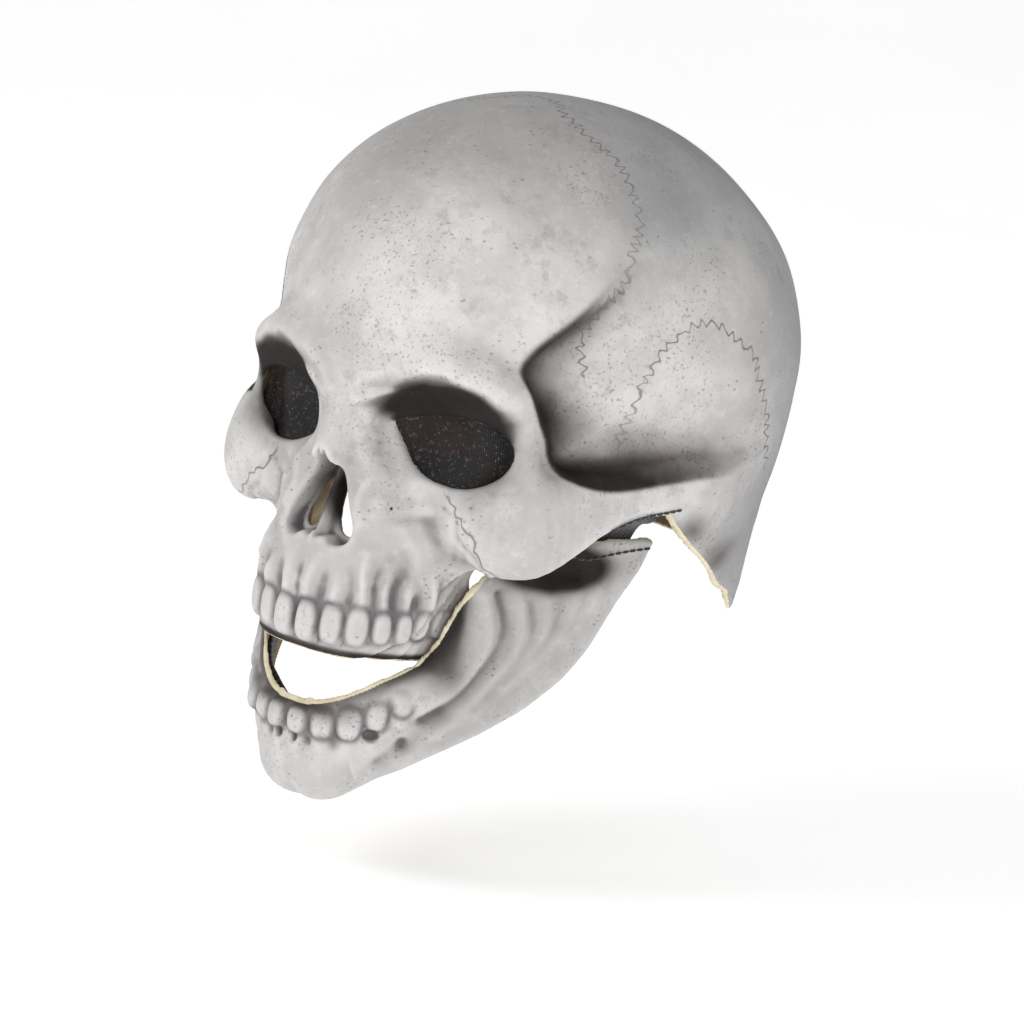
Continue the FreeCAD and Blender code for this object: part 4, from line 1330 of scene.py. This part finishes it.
def chin_strap():
    """Webbing from one side of the jaw to the other, over the front of the chin cup."""
    turn = np.radians(np.linspace(-104, 104, 130))
    inset = SKIN + 1.1 + 8.4 * np.exp(-((np.degrees(turn) / 42) ** 4))
    near, far = np.full(turn.shape, 12.0), np.full(turn.shape, 90.0)
    for _ in range(HALVINGS):
        r = (near + far) / 2
        x, y = r * np.sin(turn), -60 - r * np.cos(turn)
        z = -109 + (y + 120) * 0.775
        inside = jaw_base((x, y, z)) < -inset
        near, far = np.where(inside, r, near), np.where(inside, far, r)
    line = np.stack([x, y, z], 1)
    ahead = np.gradient(line, axis=0)
    across = np.cross(wall_normals(jaw_base, line), ahead)
    obj = band("chin_strap_woven", line, across, 12, 1.4, WEBBING)
    stand_in(obj, "chin_strap", "jaw")


def build_mask():
    cranium()
    jaw()
    crown_pad()
    pad("forehead_pad", 1, -1, (0, 82), (44, 17), 9)
    pad("occiput_pad", 1, 1, (0, 58), (44, 24), 9)
    pad("chin_cup", 1, -1, (0, -106), (22, 8), 7.5, SKIN + 0.9, jaw_base, "jaw", CUP_FOAM)
    for side, name in ((1, "left"), (-1, "right")):
        gauze("eye_gauze_" + name, side)
        gauze_band("eye_mesh_band_" + name, side)
        pad("temple_pad_" + name, 0, side, (0, 62), (32, 20), 9)
        jaw_elastic("jaw_elastic_" + name, side)
        pad("chin_strap_patch_" + name, 0, side, (-57, -60), (9, 9), 1.4, SKIN + 2.2, jaw_base, "jaw", RAW)
        y = np.linspace(-65, -35, 11)
        z = np.interp(y, (-65, -58, -50, -42, -35), (-4.6, -0.9, 1.7, 3.1, 4.2))
        spots, outs = on_wall(head_surface, side, np.stack([y, z], 1))
        stitched_row("arch_thread_" + name, spots, outs, "cranium", "arch_stitches_" + name)
        y = np.linspace(-49, -14, 12)
        z = np.interp(y, (-49, -44, -38, -32, -23, -14), (-21.2, -22.6, -22.0, -20.4, -18.8, -17.6))
        spots, outs = on_wall(jaw_surface, side, np.stack([y, z], 1))
        stitched_row("jaw_thread_" + name, spots, outs, "jaw", "jaw_stitches_" + name)
    chin_strap()
    strap("head_strap_left", 84.7, 14, 106, 24, 1.4, WEBBING)
    strap("loop_tape", 83.45, 74, 105, 22, 0.9, LOOPS)
    strap("hook_tape", 82.25, 80, 100, 22, 0.9, HOOKS, "strap_tail")
    strap("head_strap_right", 81.2, 79, 166, 24, 1.4, WEBBING, "both")
    latex_block("strap_anchor_left_latex", 1, 85.6, "strap_anchor_left")
    latex_block("strap_anchor_right_latex", -1, 82.1, "strap_anchor_right")


# ==== the studio ====
FLOOR_LEVEL = -152  # below the chin at its widest opening
PHOTO_AZIMUTH = 35


def look_from(azimuth, elevation, roll, distance):
    """A camera that looks at the origin. Azimuth 0 looks along +Y, and roll turns the picture clockwise."""
    a, e, r = (math.radians(v) for v in (azimuth, elevation, roll))
    back = np.array([math.sin(a) * math.cos(e), -math.cos(a) * math.cos(e), math.sin(e)])
    right = np.array([math.cos(a), math.sin(a), 0.0])
    up = np.cross(back, right)
    right, up = right * math.cos(r) + up * math.sin(r), up * math.cos(r) - right * math.sin(r)
    camera = bpy.data.objects.new("camera", bpy.data.cameras.new("camera"))
    matrix = np.eye(4)
    matrix[:3, 0], matrix[:3, 1], matrix[:3, 2], matrix[:3, 3] = right, up, back, back * distance
    camera.matrix_world = Matrix(matrix.tolist())
    bpy.context.scene.collection.objects.link(camera)
    return camera


def studio():
    camera = look_from(PHOTO_AZIMUTH, 9.4, 9.5, 1.515)
    camera.data.lens = 137.5
    camera.data.shift_x, camera.data.shift_y = -0.013, -0.054
    bpy.context.scene.camera = camera

    n = Nodes("studio_floor")
    pale = n.mix(n.between(n.noise(3, 2), 0.3, 0.7), (0.90, 0.90, 0.90), (0.93, 0.93, 0.93))
    white = n.finish(pale, 0.9, Emission_Color=(1, 1, 1, 1), Emission_Strength=0.46)
    # a paper sweep: level under the mask, curving up far behind it
    t = np.linspace(0, math.pi / 2, 24)
    run = np.concatenate([[-6000, 0], 2500 + 2500 * np.sin(t), [5000]])
    rise = np.concatenate([[0, 0], 2500 - 2500 * np.cos(t), [9000]])
    away = np.array([-math.sin(math.radians(PHOTO_AZIMUTH)), math.cos(math.radians(PHOTO_AZIMUTH)), 0])
    side = np.array([away[1], -away[0], 0])
    rows = [away * a + (0, 0, h + FLOOR_LEVEL) for a, h in zip(run, rise)]
    sweep = [row + side * w for row in rows for w in (-9000, 9000)]
    floor = make_mesh("floor", sweep, grid_quads(len(run), 2), white)

    def softbox(name, spot, size, power):
        light = bpy.data.objects.new(name, bpy.data.lights.new(name, "AREA"))
        light.data.shape = "DISK"
        light.data.size = size
        light.data.energy = power
        light.location = spot
        aim = np.array((0, -0.02, 0.0)) - np.array(spot)
        light.rotation_mode = "QUATERNION"
        light.rotation_quaternion = Vector(aim).to_track_quat("-Z", "Y")
        bpy.context.scene.collection.objects.link(light)

    softbox("key", (-0.7, -1.6, 0.95), 0.7, 12.5)
    softbox("fill", (1.75, -1.0, 0.35), 0.9, 12)

    world = bpy.data.worlds.new("studio")
    bpy.context.scene.world = world
    world.use_nodes = True
    tree = world.node_tree
    seen = tree.nodes.new("ShaderNodeLightPath")
    strength = tree.nodes.new("ShaderNodeMapRange")
    strength.inputs["To Min"].default_value = 0.36
    strength.inputs["To Max"].default_value = 1.0
    tree.links.new(seen.outputs["Is Camera Ray"], strength.inputs["Value"])
    background = tree.nodes["Background"]
    background.inputs["Color"].default_value = (1, 1, 1, 1)
    tree.links.new(strength.outputs["Result"], background.inputs["Strength"])
    bpy.context.scene.view_settings.view_transform = "Standard"


build_mask()
studio()
